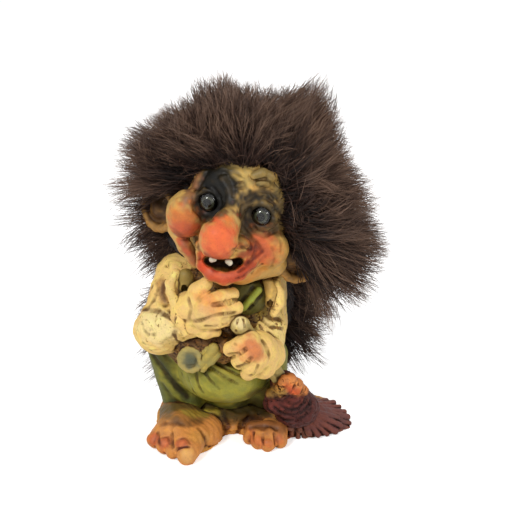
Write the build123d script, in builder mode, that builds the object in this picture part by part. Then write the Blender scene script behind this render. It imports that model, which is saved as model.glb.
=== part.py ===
from build123d import *
import math
import os

os.makedirs("parts", exist_ok=True)

# A cast and painted troll that stands on a flat plinth and holds a besom broom.
# Millimetres. X runs to the viewer's right, -Y is the front, Z is up, and the floor is Z = 0.
# Right and left are the figure's own, so its right hand is on the -X side.

# Stance
stance_width = 80.0  # right elbow to the tips of the broom, side to side
stance_depth = 50.0  # toe tips to the back of the plinth
shoulder_height = 60.0  # floor to the middle of the shoulders
neck_rise = 2.0  # shoulders to the underside of the head
origin_set_back = 8.0  # middle of the stance to the origin, which lies under the figure's weight
cut_overrun = 60.0  # how far a cutting solid runs past what it cuts

# Plinth and feet
plinth_thickness = 4.5
plinth_edge = 1.2
plinth_corner_radius = 4.0
ankle_radius = 8.0
right_instep_radius = 8.0
left_instep_radius = 6.8
big_toe_radius = 4.4
small_toe_radius = 3.1

# Trousers
belly_radius = 13.0
belly_half_width = 4.0
seat_radius = 19.0
crotch_radius = 11.5
leg_radius = 10.0
hem_radius = 9.0
band_radius = 4.0
button_radius = 4.4
button_rim = 1.1
button_thickness = 2.6
button_facing = (-0.25, -1.0, 0.15)  # direction that its front looks in
loop_radius = 1.8
brace_radius = 1.8
bib_radius = 5.0

# Shirt
waist_radius = 14.5
chest_radius = 14.0
chest_half_width = 9.0
neck_radius = 9.0
shoulder_radius = 9.0
elbow_radius = 9.5
forearm_radius = 7.5
left_elbow_radius = 8.5
cuff_radius = 6.6

# Hands
palm_radius = 6.6
finger_radius = 2.3
thumb_radius = 2.2
fist_radius = 6.6
knuckle_radius = 2.9

# Head, whose face is turned and leant as a whole
head_height = 48.0
head_breadth = 41.0
jaw_breadth = 36.0
head_yaw = 12.0
head_lean = 12.0
nose_radius = 6.4
bridge_radius = 3.4
nostril_radius = 3.2
brow_radius = 3.4
right_cheek_radius = 7.2
left_cheek_radius = 7.6
chin_radius = 9.0
lip_radius = 2.5
mouth_width = 21.0
mouth_drop = 7.0
mouth_gap = 4.6
mouth_depth = 4.0
tooth_width = 2.7
tooth_height = 2.3
tooth_thickness = 1.8
ear_radius = 8.4
ear_thickness = 5.0
ear_hollow_radius = 7.0
ear_hollow_depth = 2.0

# Plastic eyes, each a dark ball on a shank behind a clear cap
eyeball_radius = 3.1
eye_cap_thickness = 0.7
eye_shank_radius = 1.3
eye_shank_length = 7.0

# Broom
handle_radius = 2.6
handle_tip_radius = 3.0
binding_radius = 8.2
binding_neck_radius = 5.2
twig_root_radius = 3.0
twig_tip_radius = 2.4
twig_count = 7
twig_rows = 2
broom_fan_width = 17.0
broom_row_gap = 3.4

# Inside: a foam filling in the hollow casting, its plug and the dowel that carries the head
skin_thickness = 3.0  # shirt shoulder above the top of the filling
filler_foot_radius = 8.0
filler_head_radius = 7.0
plug_radius = 5.0
plug_thickness = 3.0
dowel_radius = 3.0
dowel_depth = 14.0

# Wig: long pile on a woven backing that is glued round the skull and hangs down the back
backing_thickness = 1.2
wig_width = 100.0
wig_depth = 70.0
wig_rise = 48.0
bolster_radius = 21.0
lock_root_radius = 13.0
lock_tip_radius = 4.5
mane_radius = 17.0
mane_lock_radius = 13.0
mane_tip_radius = 5.0

# Places on the body, as shares of stance width, stance depth and shoulder height
head_centre_shares = (0.0075, 0.0)
right_ankle_shares = (-0.28, 0.06, 0.18)
right_instep_shares = (-0.275, -0.22, 0.09)
right_toe_shares = ((-0.365, -0.29), (-0.315, -0.36), (-0.255, -0.4), (-0.18, -0.37))
left_ankle_shares = (0.15, 0.24, 0.16)
left_instep_shares = (0.125, -0.01, 0.08)
left_toe_shares = ((0.2, -0.17), (0.145, -0.23), (0.09, -0.22), (0.04, -0.15))
toe_height_share = 0.05
toe_root_share = 0.8  # thickness of a toe inside the instep, as a share of the instep
belly_shares = (-0.075, -0.065, 0.455)
seat_shares = (-0.075, 0.2, 0.5)
crotch_shares = (-0.045, 0.18, 0.25)
filler_foot_shares = (-0.09, 0.2, 0.22)
right_hip_shares = (-0.29, 0.08, 0.55)
right_hem_shares = (-0.3, 0.06, 0.2)
left_hip_shares = (0.1, 0.12, 0.47)
left_hem_shares = (0.13, 0.18, 0.22)
waist_shares = (-0.085, 0.04, 0.66)
chest_shares = (-0.075, 0.07, 0.87)
band_shares = ((-0.22, -0.2, 0.65), (-0.04, -0.24, 0.68))
button_shares = (-0.195, -0.3, 0.545)
loop_end_shares = (-0.1, -0.34, 0.65)
bib_shares = ((0.02, -0.14, 0.94), (0.07, -0.14, 0.95))
right_brace_shares = ((-0.305, -0.08, 1.05), (-0.275, -0.15, 0.9))
left_brace_shares = ((0.16, -0.1, 1.0), (0.18, -0.12, 0.86))
right_shoulder_shares = (-0.285, 0.06, 0.95)
right_elbow_shares = (-0.35, -0.1, 0.69)
right_wrist_shares = (-0.215, -0.3, 0.8)
right_palm_shares = (-0.14, -0.345, 0.87)
right_finger_shares = (
    (-0.02, -0.335, 0.95),
    (0.0, -0.355, 0.9),
    (-0.005, -0.365, 0.845),
    (-0.03, -0.365, 0.795),
)
right_thumb_shares = (-0.115, -0.38, 0.98)
left_shoulder_shares = (0.1, 0.08, 0.95)
left_elbow_shares = (0.115, -0.05, 0.67)
left_wrist_shares = (0.105, -0.25, 0.62)
left_fist_shares = (0.055, -0.36, 0.625)
left_knuckle_shares = ((-0.02, -0.43, 0.7), (-0.015, -0.46, 0.62), (0.0, -0.46, 0.55), (0.03, -0.44, 0.49))
left_thumb_shares = (0.045, -0.44, 0.735)
broom_top_shares = (-0.002, -0.42, 0.83)
broom_neck_shares = (0.185, -0.2, 0.42)
broom_crown_shares = (0.215, -0.12, 0.27)
broom_tip_shares = (0.435, 0.1, 0.13)
plinth_outline_shares = (
    (-0.4, -0.08),
    (-0.385, -0.32),
    (-0.24, -0.45),
    (-0.15, -0.28),
    (0.005, 0.12),
    (0.12, -0.22),
    (0.22, -0.08),
    (0.44, 0.02),
    (0.45, 0.46),
    (0.16, 0.66),
    (-0.2, 0.66),
    (-0.39, 0.34),
)

# Places on the head, as shares of half its breadth (rightward on the page, forward) and half its height
eye_shares = ((-0.405, 0.775, 0.17), (0.49, 0.755, 0.17))
nose_shares = (-0.12, 1.3, -0.13)
bridge_shares = (0.02, 0.8, 0.22)
nostril_shares = ((-0.36, 0.92, -0.22), (0.24, 0.94, -0.24))
brow_inner_shares = (0.26, 0.76, 0.48)
brow_outer_shares = (0.68, 0.52, 0.5)
right_cheek_shares = (-0.76, 0.7, -0.12)
left_cheek_shares = (0.6, 0.6, -0.3)
skull_share = 0.14
jaw_share = 0.26
chin_shares = (0.12, 0.6, -0.54)
mouth_shares = (0.14, 0.98, -0.5)
lip_shares = (0.14, 0.86, -0.53)
lip_corner_shares = ((-0.48, 0.1), (-0.24, 0.95), (0.2, 1.0), (0.46, 0.2))
tooth_shares = ((-0.28, 0.7), (-0.02, 0.7))
right_ear_shares = (-1.34, 0.02, -0.34)
left_ear_shares = (1.16, 0.1, -0.52)
hairline_shares = (0.0, 0.48, 0.78)

# Root and tip of each lock, as shares of wig width, wig depth and wig rise from the head's middle
lock_shares = (
    ((-0.26, 0.3, -0.36), (-0.4, 0.2, -0.86)),
    ((-0.3, 0.24, -0.16), (-0.44, 0.14, -0.42)),
    ((-0.3, 0.2, 0.1), (-0.44, 0.08, 0.04)),
    ((-0.28, 0.1, 0.3), (-0.42, 0.0, 0.42)),
    ((-0.18, 0.02, 0.44), (-0.3, -0.02, 0.74)),
    ((-0.06, -0.02, 0.46), (-0.12, -0.02, 0.88)),
    ((0.06, -0.02, 0.46), (0.06, -0.02, 0.84)),
    ((0.16, 0.02, 0.44), (0.26, 0.02, 0.9)),
    ((0.24, 0.04, 0.3), (0.37, 0.0, 0.56)),
    ((0.28, 0.06, 0.1), (0.45, 0.0, 0.2)),
    ((0.3, 0.08, -0.14), (0.47, 0.0, -0.22)),
    ((0.28, 0.12, -0.4), (0.42, 0.04, -0.74)),
    ((-0.14, 0.32, 0.28), (-0.22, 0.46, 0.48)),
    ((0.14, 0.32, 0.28), (0.22, 0.46, 0.46)),
    ((-0.2, 0.34, -0.2), (-0.26, 0.5, -0.1)),
    ((0.2, 0.34, -0.2), (0.28, 0.5, -0.12)),
    ((0.0, 0.36, 0.0), (0.0, 0.54, 0.08)),
)
# Ends of the bolsters that fill the wig behind the head, as shares of the same sizes
bolster_shares = (
    ((-0.19, 0.22, 0.02), (0.2, 0.22, -0.02)),
    ((-0.12, 0.1, 0.34), (0.14, 0.1, 0.32)),
)
# The mane, as shares of wig width, wig depth and the height of the head's middle above the floor
mane_shares = (
    ((-0.12, 0.36, 0.8), (-0.13, 0.4, 0.46)),
    ((0.12, 0.36, 0.8), (0.13, 0.4, 0.46)),
)
mane_tip_shares = (
    ((-0.2, 0.4, 0.46), (-0.32, 0.42, 0.16)),
    ((-0.12, 0.42, 0.4), (-0.15, 0.54, 0.12)),
    ((0.0, 0.42, 0.4), (0.01, 0.58, 0.1)),
    ((0.12, 0.42, 0.4), (0.16, 0.54, 0.12)),
    ((0.2, 0.4, 0.46), (0.32, 0.42, 0.18)),
)

# Directions of the head: rightward on the page, forward out of the face, and up through the crown
yaw = math.radians(head_yaw)
lean = math.radians(head_lean)
page_right = Vector(math.cos(yaw), -math.sin(yaw), 0)
face_forward = Vector(-math.sin(yaw), -math.cos(yaw), 0)
head_right = page_right * math.cos(lean) - Vector(0, 0, 1) * math.sin(lean)
head_up = page_right * math.sin(lean) + Vector(0, 0, 1) * math.cos(lean)
head_centre = Vector(
    head_centre_shares[0] * stance_width,
    head_centre_shares[1] * stance_depth - origin_set_back,
    shoulder_height + neck_rise + head_height / 2,
)


def on_body(shares):
    """A place on the body from its shares."""
    across, back, up = shares
    return Vector(across * stance_width, back * stance_depth - origin_set_back, up * shoulder_height)


def on_head(shares):
    """A place on the head from its shares."""
    across, out, up = shares
    half_breadth = head_breadth / 2
    half_height = head_height / 2
    sideways = head_right * across * half_breadth
    return head_centre + sideways + face_forward * out * half_breadth + head_up * up * half_height


def on_wig(shares):
    """A place in the wig from its shares, measured from the middle of the head."""
    return head_centre + Vector(shares[0] * wig_width, shares[1] * wig_depth, shares[2] * wig_rise)


def on_mane(shares):
    """A place in the mane from its shares, measured up from the floor."""
    back = head_centre.Y + shares[1] * wig_depth
    return Vector(head_centre.X + shares[0] * wig_width, back, shares[2] * head_centre.Z)


def beside(axis):
    """A direction square to an axis."""
    helper = Vector(0, 1, 0) if abs(axis.normalized().Z) > abs(axis.normalized().Y) else Vector(0, 0, 1)
    return axis.cross(helper).normalized()


def ball(centre, radius, mode=Mode.ADD):
    """A ball in the part that is being built."""
    with Locations(centre):
        Sphere(radius, mode=mode)


def limb(start, start_radius, end, end_radius, mode=Mode.ADD):
    """A tapered limb: two balls and the cone that is tangent to both."""
    axis = end - start
    reach = axis.length
    tilt = math.asin((start_radius - end_radius) / reach)  # lean of the cone's side
    profile_plane = Plane(origin=start, x_dir=axis, z_dir=beside(axis))
    back_middle = (math.pi + math.pi / 2 - tilt) / 2
    front_middle = (math.pi / 2 - tilt) / 2
    start_tangent = (start_radius * math.sin(tilt), start_radius * math.cos(tilt))
    end_tangent = (reach + end_radius * math.sin(tilt), end_radius * math.cos(tilt))
    start_arc = (start_radius * math.cos(back_middle), start_radius * math.sin(back_middle))
    end_arc = (reach + end_radius * math.cos(front_middle), end_radius * math.sin(front_middle))
    with BuildSketch(profile_plane) as profile:
        with BuildLine():
            ThreePointArc((-start_radius, 0), start_arc, start_tangent)
            Line(start_tangent, end_tangent)
            ThreePointArc(end_tangent, end_arc, (reach + end_radius, 0))
            Line((reach + end_radius, 0), (-start_radius, 0))
        make_face()
    return revolve(profile.sketch, axis=Axis(start, axis), mode=mode)


def take_away(*pieces):
    """Cuts finished pieces out of the part that is being built, so that they meet face to face."""
    add([piece.part for piece in pieces], mode=Mode.SUBTRACT)


def drop_slivers(piece):
    """Keeps only the main solid of a piece, without thin scraps that cutting leaves at its rim."""
    add(piece.solids().sort_by(SortBy.VOLUME)[-1], mode=Mode.REPLACE)


def stand_on_floor():
    """Cuts off what reaches below the floor."""
    split(bisect_by=Plane.XY, keep=Keep.TOP)


def keep(piece, name):
    """Labels a finished piece and writes it."""
    piece.part.label = name
    export_step(piece.part, f"parts/{name}.step")


# Foam filling: a tapered core from the plinth to the shoulders
filler_foot = on_body(filler_foot_shares)
filler_head = on_body(chest_shares) - Vector(0, 0, skin_thickness)
with BuildPart() as filler_core:
    limb(filler_foot, filler_foot_radius, filler_head, filler_head_radius)
keep(filler_core, "filler_core")

# Plug: closes the hole that the foam was poured through
with BuildPart() as fill_plug:
    with Locations((filler_foot.X, filler_foot.Y, plug_thickness / 2)):
        Cylinder(plug_radius, plug_thickness)
keep(fill_plug, "fill_plug")

# Dowel: a peg from the filling up into the head
dowel_foot = filler_head + Vector(0, 0, filler_head_radius)
with BuildPart() as neck_dowel:
    with BuildSketch(Plane(origin=dowel_foot, z_dir=head_centre - dowel_foot)):
        Circle(dowel_radius)
    extrude(amount=dowel_depth)
    take_away(filler_core)
keep(neck_dowel, "neck_dowel")

# Plinth: the moulded ground under both feet and the broom
with BuildPart() as plinth:
    with BuildSketch() as plinth_outline:
        with BuildLine():
            FilletPolyline(
                [on_body((x_share, y_share, 0)) for x_share, y_share in plinth_outline_shares],
                radius=plinth_corner_radius,
                close=True,
            )
        make_face()
    extrude(amount=plinth_thickness)
    chamfer(plinth.faces().sort_by(Axis.Z)[-1].edges(), plinth_edge)
    take_away(fill_plug, filler_core)
keep(plinth, "plinth")


def foot(ankle_shares, instep_shares, instep_radius, toe_shares):
    """Ankle, instep and four toes of one bare foot, flat under the sole."""
    ankle = on_body(ankle_shares)
    instep = on_body(instep_shares)
    limb(ankle, ankle_radius, instep, instep_radius)
    for index, (x_share, y_share) in enumerate(toe_shares):
        radius = big_toe_radius if index == len(toe_shares) - 1 else small_toe_radius
        toe = on_body((x_share, y_share, toe_height_share))
        limb(instep, instep_radius * toe_root_share, toe, radius)
    stand_on_floor()
    take_away(plinth, filler_core)


with BuildPart() as right_foot:
    foot(right_ankle_shares, right_instep_shares, right_instep_radius, right_toe_shares)
keep(right_foot, "right_foot")

with BuildPart() as left_foot:
    foot(left_ankle_shares, left_instep_shares, left_instep_radius, left_toe_shares)
keep(left_foot, "left_foot")

# Trousers: a full belly and seat over two short legs, hollow round the filling
with BuildPart() as trousers:
    belly = on_body(belly_shares)
    belly_side = Vector(belly_half_width, 0, 0)
    limb(belly - belly_side, belly_radius, belly + belly_side, belly_radius)
    limb(on_body(seat_shares), seat_radius, on_body(crotch_shares), crotch_radius)
    limb(on_body(right_hip_shares), leg_radius, on_body(right_hem_shares), hem_radius)
    limb(on_body(left_hip_shares), leg_radius, on_body(left_hem_shares), hem_radius)
    take_away(plinth, right_foot, left_foot, filler_core)
keep(trousers, "trousers")

# Shirt: a broad trunk with a short neck
side_step = Vector(chest_half_width, 0, 0)
waist = on_body(waist_shares)
chest = on_body(chest_shares)
with BuildPart() as shirt:
    limb(waist - side_step, waist_radius, waist + side_step, waist_radius)
    limb(chest - side_step, chest_radius, chest + side_step, chest_radius)
    limb(chest, chest_radius, head_centre - Vector(0, 0, head_height / 4), neck_radius)
    take_away(trousers, filler_core, neck_dowel)
keep(shirt, "shirt")

# Head, hollowed for the dowel and the eyes, with its mouth cut as a crescent
skull_centre = head_centre + head_up * skull_share * head_height / 2
jaw_centre = head_centre - head_up * jaw_share * head_height / 2
mouth_centre = on_head(mouth_shares)
mouth_plane = Plane(origin=mouth_centre, x_dir=head_right, z_dir=face_forward)
eye_centres = [on_head(shares) for shares in eye_shares]


def shape_eyeball(centre):
    """Dark ball and the shank that holds it in the head."""
    ball(centre, eyeball_radius)
    with BuildSketch(Plane(origin=centre, z_dir=-face_forward)) as shank:
        Circle(eye_shank_radius)
    extrude(shank.sketch, amount=eye_shank_length)


def shape_eye_cap(centre, eyeball):
    """Clear cap over the front of the eyeball."""
    ball(centre, eyeball_radius + eye_cap_thickness)
    split(bisect_by=Plane(origin=centre, z_dir=face_forward), keep=Keep.TOP)
    take_away(eyeball)


with BuildPart() as right_eyeball:
    shape_eyeball(eye_centres[0])
keep(right_eyeball, "right_eyeball")

with BuildPart() as left_eyeball:
    shape_eyeball(eye_centres[1])
keep(left_eyeball, "left_eyeball")

with BuildPart() as right_eye_cap:
    shape_eye_cap(eye_centres[0], right_eyeball)
keep(right_eye_cap, "right_eye_cap")

with BuildPart() as left_eye_cap:
    shape_eye_cap(eye_centres[1], left_eyeball)
keep(left_eye_cap, "left_eye_cap")

with BuildPart() as head:
    limb(skull_centre, head_breadth / 2, jaw_centre, jaw_breadth / 2)
    ball(on_head(right_cheek_shares), right_cheek_radius)
    ball(on_head(left_cheek_shares), left_cheek_radius)
    ball(on_head(chin_shares), chin_radius)
    # Lower lip: three round bars along the smile
    lip_plane = Plane(origin=on_head(lip_shares), x_dir=head_right, z_dir=face_forward)
    lip_corners = [
        lip_plane.from_local_coords((across * mouth_width, -down * mouth_drop, 0))
        for across, down in lip_corner_shares
    ]
    for lip_start, lip_end in zip(lip_corners, lip_corners[1:]):
        limb(lip_start, lip_radius, lip_end, lip_radius)
    with BuildSketch(mouth_plane) as mouth:
        with BuildLine():
            ThreePointArc((-mouth_width / 2, 0), (0, mouth_gap - mouth_drop), (mouth_width / 2, 0))
            ThreePointArc((mouth_width / 2, 0), (0, -mouth_drop), (-mouth_width / 2, 0))
        make_face()
    extrude(amount=cut_overrun, mode=Mode.SUBTRACT)
    extrude(mouth.sketch, amount=-mouth_depth, mode=Mode.SUBTRACT)
    limb(on_head(bridge_shares), bridge_radius, on_head(nose_shares), nose_radius)
    for shares in nostril_shares:
        limb(on_head(nose_shares), nostril_radius, on_head(shares), nostril_radius)
    for side in (-1, 1):
        inner = on_head((side * brow_inner_shares[0], brow_inner_shares[1], brow_inner_shares[2]))
        outer = on_head((side * brow_outer_shares[0], brow_outer_shares[1], brow_outer_shares[2]))
        limb(inner, brow_radius, outer, brow_radius)
    take_away(right_eyeball, left_eyeball, right_eye_cap, left_eye_cap, shirt, neck_dowel)
keep(head, "head")

# Teeth: two pegs that hang from the upper edge of the mouth
teeth = []
for side, (across_share, out_share) in zip(("right", "left"), tooth_shares):
    with BuildPart() as tooth:
        across = across_share * mouth_width
        edge_height = (mouth_gap - mouth_drop) * (1 - (2 * across / mouth_width) ** 2)
        tooth_place = (across, edge_height - tooth_height / 2, -out_share * mouth_depth / 2)
        tooth_middle = mouth_plane.from_local_coords(tooth_place)
        with BuildSketch(Plane(origin=tooth_middle, x_dir=head_right, z_dir=face_forward)):
            RectangleRounded(tooth_width, tooth_height * 2, tooth_width / 4)
        extrude(amount=tooth_thickness / 2, both=True)
        take_away(head)
    teeth.append(tooth)
    keep(tooth, f"{side}_tooth")


def ear(shares, side):
    """A broad cupped ear: a thick disc with a round rim, hollow towards the front."""
    centre = on_head(shares)
    cup_axis = (face_forward + head_right * side / 2).normalized()
    half = ear_thickness / 2
    with BuildSketch(Plane(origin=centre, x_dir=cup_axis, z_dir=beside(cup_axis))) as profile:
        with BuildLine():
            Polyline((-half, ear_radius - half), (-half, 0), (half, 0), (half, ear_radius - half))
            ThreePointArc((half, ear_radius - half), (0, ear_radius), (-half, ear_radius - half))
        make_face()
    revolve(profile.sketch, axis=Axis(centre, cup_axis))
    hollow_centre = centre + cup_axis * (half + ear_hollow_radius - ear_hollow_depth)
    ball(hollow_centre, ear_hollow_radius, mode=Mode.SUBTRACT)
    take_away(head)


with BuildPart() as right_ear:
    ear(right_ear_shares, -1)
keep(right_ear, "right_ear")

with BuildPart() as left_ear:
    ear(left_ear_shares, 1)
keep(left_ear, "left_ear")

# Broom stick, gripped by the left hand
with BuildPart() as broom_handle:
    limb(on_body(broom_top_shares), handle_tip_radius, on_body(broom_neck_shares), handle_radius)
    take_away(trousers)
keep(broom_handle, "broom_handle")

# Sleeves: shoulder to elbow to wrist
with BuildPart() as right_sleeve:
    limb(on_body(right_shoulder_shares), shoulder_radius, on_body(right_elbow_shares), elbow_radius)
    limb(on_body(right_elbow_shares), elbow_radius, on_body(right_wrist_shares), forearm_radius)
    take_away(shirt, trousers, head)
keep(right_sleeve, "right_sleeve")

with BuildPart() as left_sleeve:
    limb(on_body(left_shoulder_shares), shoulder_radius, on_body(left_elbow_shares), left_elbow_radius)
    limb(on_body(left_elbow_shares), left_elbow_radius, on_body(left_wrist_shares), cuff_radius)
    take_away(shirt, filler_core, trousers, head, left_ear, broom_handle)
keep(left_sleeve, "left_sleeve")

# Broom head: the binding that gathers the twigs, and the fan of twigs
with BuildPart() as broom_binding:
    limb(on_body(broom_neck_shares), binding_neck_radius, on_body(broom_crown_shares), binding_radius)
    take_away(left_foot, trousers, left_sleeve, broom_handle)
keep(broom_binding, "broom_binding")

broom_axis = on_body(broom_tip_shares) - on_body(broom_crown_shares)
broom_side = broom_axis.cross(Vector(0, 1, 0)).normalized()
broom_top = broom_side.cross(broom_axis).normalized()
twigs = []
for row in range(twig_rows):
    row_lift = broom_top * (row - (twig_rows - 1) / 2) * broom_row_gap
    for place in range(twig_count):
        spread = (place / (twig_count - 1) - 1 / 2) * broom_fan_width
        twig_root = on_body(broom_crown_shares) + broom_side * spread / 2 + row_lift
        twig_tip = on_body(broom_tip_shares) + broom_side * spread + row_lift
        twigs.append(limb(twig_root, twig_root_radius, twig_tip, twig_tip_radius, mode=Mode.PRIVATE))
with BuildPart() as broom_twigs:
    add(twigs)
    split(bisect_by=Plane.XY.offset(plinth_thickness), keep=Keep.TOP)
    take_away(left_foot, broom_binding)
keep(broom_twigs, "broom_twigs")

# Hands: one flat on the chest, one closed round the stick
with BuildPart() as right_hand:
    right_palm = on_body(right_palm_shares)
    limb(on_body(right_wrist_shares), palm_radius, right_palm, palm_radius)
    for shares in right_finger_shares:
        fingertip = on_body(shares)
        limb(right_palm + (fingertip - right_palm) / 3, finger_radius, fingertip, finger_radius)
    limb(right_palm, thumb_radius, on_body(right_thumb_shares), thumb_radius)
    take_away(right_sleeve, shirt, broom_handle, head)
keep(right_hand, "right_hand")

with BuildPart() as left_hand:
    left_fist = on_body(left_fist_shares)
    limb(on_body(left_wrist_shares), fist_radius, left_fist, fist_radius)
    for shares in left_knuckle_shares:
        knuckle = on_body(shares)
        limb(left_fist + (knuckle - left_fist) / 3, knuckle_radius, knuckle, knuckle_radius)
    limb(left_fist, thumb_radius, on_body(left_thumb_shares), thumb_radius)
    take_away(left_sleeve, shirt, trousers, broom_handle, right_hand)
keep(left_hand, "left_hand")

# Waistband: a roll along the front of the waist
with BuildPart() as waistband:
    limb(on_body(band_shares[0]), band_radius, on_body(band_shares[1]), band_radius)
    take_away(trousers, shirt, right_sleeve, right_hand, left_hand)
    drop_slivers(waistband)
keep(waistband, "waistband")

# Bib of the dungarees, high on the chest
with BuildPart() as bib:
    limb(on_body(bib_shares[0]), bib_radius, on_body(bib_shares[1]), bib_radius)
    take_away(shirt, left_sleeve, right_hand, head)
    drop_slivers(bib)
keep(bib, "bib")

# Braces: a cord over each shoulder
with BuildPart() as right_brace:
    limb(on_body(right_brace_shares[0]), brace_radius, on_body(right_brace_shares[1]), brace_radius)
    take_away(shirt, right_sleeve, head, right_ear)
    drop_slivers(right_brace)
keep(right_brace, "right_brace")

with BuildPart() as left_brace:
    limb(on_body(left_brace_shares[0]), brace_radius, on_body(left_brace_shares[1]), brace_radius)
    take_away(shirt, left_sleeve, head, left_ear)
    drop_slivers(left_brace)
keep(left_brace, "left_brace")

# Big button at the waist and the loop that it holds
button_plane = Plane(origin=on_body(button_shares), x_dir=(1, 0, 0), z_dir=button_facing)
with BuildPart() as brace_button:
    with BuildSketch(button_plane):
        Circle(button_radius)
    extrude(amount=button_thickness, both=True)
    with BuildSketch(button_plane.offset(button_thickness)):
        Circle(button_radius - button_rim)
    extrude(amount=-button_rim, mode=Mode.SUBTRACT)
    take_away(trousers, shirt, waistband, right_sleeve)
keep(brace_button, "brace_button")

with BuildPart() as button_loop:
    limb(on_body(button_shares), loop_radius, on_body(loop_end_shares), loop_radius)
    take_away(trousers, shirt, waistband, brace_button, right_hand)
    drop_slivers(button_loop)
keep(button_loop, "button_loop")

# Wig backing: a cap over the top and back of the skull
with BuildPart() as wig_backing:
    ball(skull_centre, head_breadth / 2 + backing_thickness)
    split(bisect_by=Plane(origin=on_head(hairline_shares), z_dir=(head_up - face_forward)), keep=Keep.TOP)
    take_away(head, right_ear, left_ear)
    drop_slivers(wig_backing)
keep(wig_backing, "wig_backing")


def tufts(place, ends, start_radius, end_radius):
    """Tapered masses of fur between pairs of places."""
    return [
        limb(place(start), start_radius, place(end), end_radius, mode=Mode.PRIVATE) for start, end in ends
    ]


# Wig pile: long fur that stands off the backing in locks and falls down the back
with BuildPart() as wig_pile:
    add(tufts(on_wig, bolster_shares, bolster_radius, bolster_radius))
    add(tufts(on_wig, lock_shares, lock_root_radius, lock_tip_radius))
    add(tufts(on_mane, mane_shares, mane_radius, mane_radius))
    add(tufts(on_mane, mane_tip_shares, mane_lock_radius, mane_tip_radius))
    take_away(head, wig_backing, right_ear, left_ear, right_brace, left_brace)
    take_away(shirt, right_sleeve, left_sleeve, trousers, filler_core)
    drop_slivers(wig_pile)
keep(wig_pile, "wig_pile")
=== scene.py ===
import functools
import math

import bpy
import numpy as np
from bpy.props import FloatProperty, FloatVectorProperty, IntProperty, PointerProperty
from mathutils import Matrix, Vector


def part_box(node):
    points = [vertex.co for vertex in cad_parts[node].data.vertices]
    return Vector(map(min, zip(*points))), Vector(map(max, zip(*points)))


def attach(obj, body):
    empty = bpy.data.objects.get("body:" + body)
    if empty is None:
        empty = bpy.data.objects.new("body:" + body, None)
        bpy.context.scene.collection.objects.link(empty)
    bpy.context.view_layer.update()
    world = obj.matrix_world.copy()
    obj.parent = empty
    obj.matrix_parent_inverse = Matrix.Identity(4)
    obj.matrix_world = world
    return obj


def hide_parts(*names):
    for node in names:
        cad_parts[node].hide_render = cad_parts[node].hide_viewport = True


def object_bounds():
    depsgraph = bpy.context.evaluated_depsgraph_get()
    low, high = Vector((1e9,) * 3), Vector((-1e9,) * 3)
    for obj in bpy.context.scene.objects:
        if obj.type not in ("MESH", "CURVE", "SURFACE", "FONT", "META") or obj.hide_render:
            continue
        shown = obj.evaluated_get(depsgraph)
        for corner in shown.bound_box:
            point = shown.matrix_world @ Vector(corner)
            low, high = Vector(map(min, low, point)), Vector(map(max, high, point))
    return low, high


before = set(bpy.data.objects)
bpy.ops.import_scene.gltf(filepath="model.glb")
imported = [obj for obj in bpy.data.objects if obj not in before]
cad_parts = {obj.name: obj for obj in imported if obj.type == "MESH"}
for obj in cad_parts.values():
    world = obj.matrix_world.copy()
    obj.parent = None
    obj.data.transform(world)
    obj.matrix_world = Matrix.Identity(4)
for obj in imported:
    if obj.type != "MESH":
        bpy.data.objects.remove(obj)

CAD_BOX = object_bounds()

bl_info = {
    "name": "Folk troll figure",
    "version": (1, 0, 0),
    "blender": (4, 5, 0),
    "location": "View3D > Sidebar > Troll",
    "description": "Models and paints a cast folk troll and grows its wig round the packed solids",
    "category": "Object",
}

# Places on the figure are in millimetres, and MM turns them into Blender's metres
MM = 0.001

# Camera of the reference view. Details are placed by their pixel in its square frame
PHOTO_PIXELS = 520
LENS_MM = 85.0
SENSOR_MM = 36.0
HALF_FRAME = PHOTO_PIXELS / 2
HALF_VIEW = SENSOR_MM / 2 / LENS_MM  # half of what the camera sees at a distance of one
CAMERA_ELEVATION = math.radians(18)
CAMERA_DISTANCE = 430.0
IN_FRONT = 60.0  # millimetres before the aim, where nothing of the figure is yet
RAY_STEPS = 60
AIM = np.array((7.0, -8.0, 66.5))
FORWARD = np.array((0.0, math.cos(CAMERA_ELEVATION), -math.sin(CAMERA_ELEVATION)))
RIGHT = np.array((1.0, 0.0, 0.0))
UP = np.array((0.0, math.sin(CAMERA_ELEVATION), math.cos(CAMERA_ELEVATION)))
LOOK_FROM = AIM - FORWARD * CAMERA_DISTANCE

# The head is turned and leant as a whole, as its solid is
HEAD_TURN = math.radians(12)
HEAD_LEAN = math.radians(12)
HEAD_CENTRE = np.array((0.6, -8.0, 86.0))
STRAIGHT_UP = np.array((0.0, 0.0, 1.0))
LEVEL_RIGHT = np.array((math.cos(HEAD_TURN), -math.sin(HEAD_TURN), 0.0))
FACE_FORWARD = np.array((-math.sin(HEAD_TURN), -math.cos(HEAD_TURN), 0.0))
HEAD_RIGHT = LEVEL_RIGHT * math.cos(HEAD_LEAN) - STRAIGHT_UP * math.sin(HEAD_LEAN)
HEAD_UP = LEVEL_RIGHT * math.sin(HEAD_LEAN) + STRAIGHT_UP * math.cos(HEAD_LEAN)

RANDOM_SEED = 7
NET_STEP = 0.75  # millimetres between the points of the first net over a clay shape
NET_MARGIN = 5.0  # millimetres that the net reaches past its solid on each side
LONGEST_MOVE = 0.6  # millimetres that a point of the net moves at once onto the surface
LEAST_STEEP = 0.4  # a smaller square of the field's slope counts as this
FIBRES_IN_LOCK = 24
FIBRES_IN_PIECE = 7000
FIBRE_RINGS = 5

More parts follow.
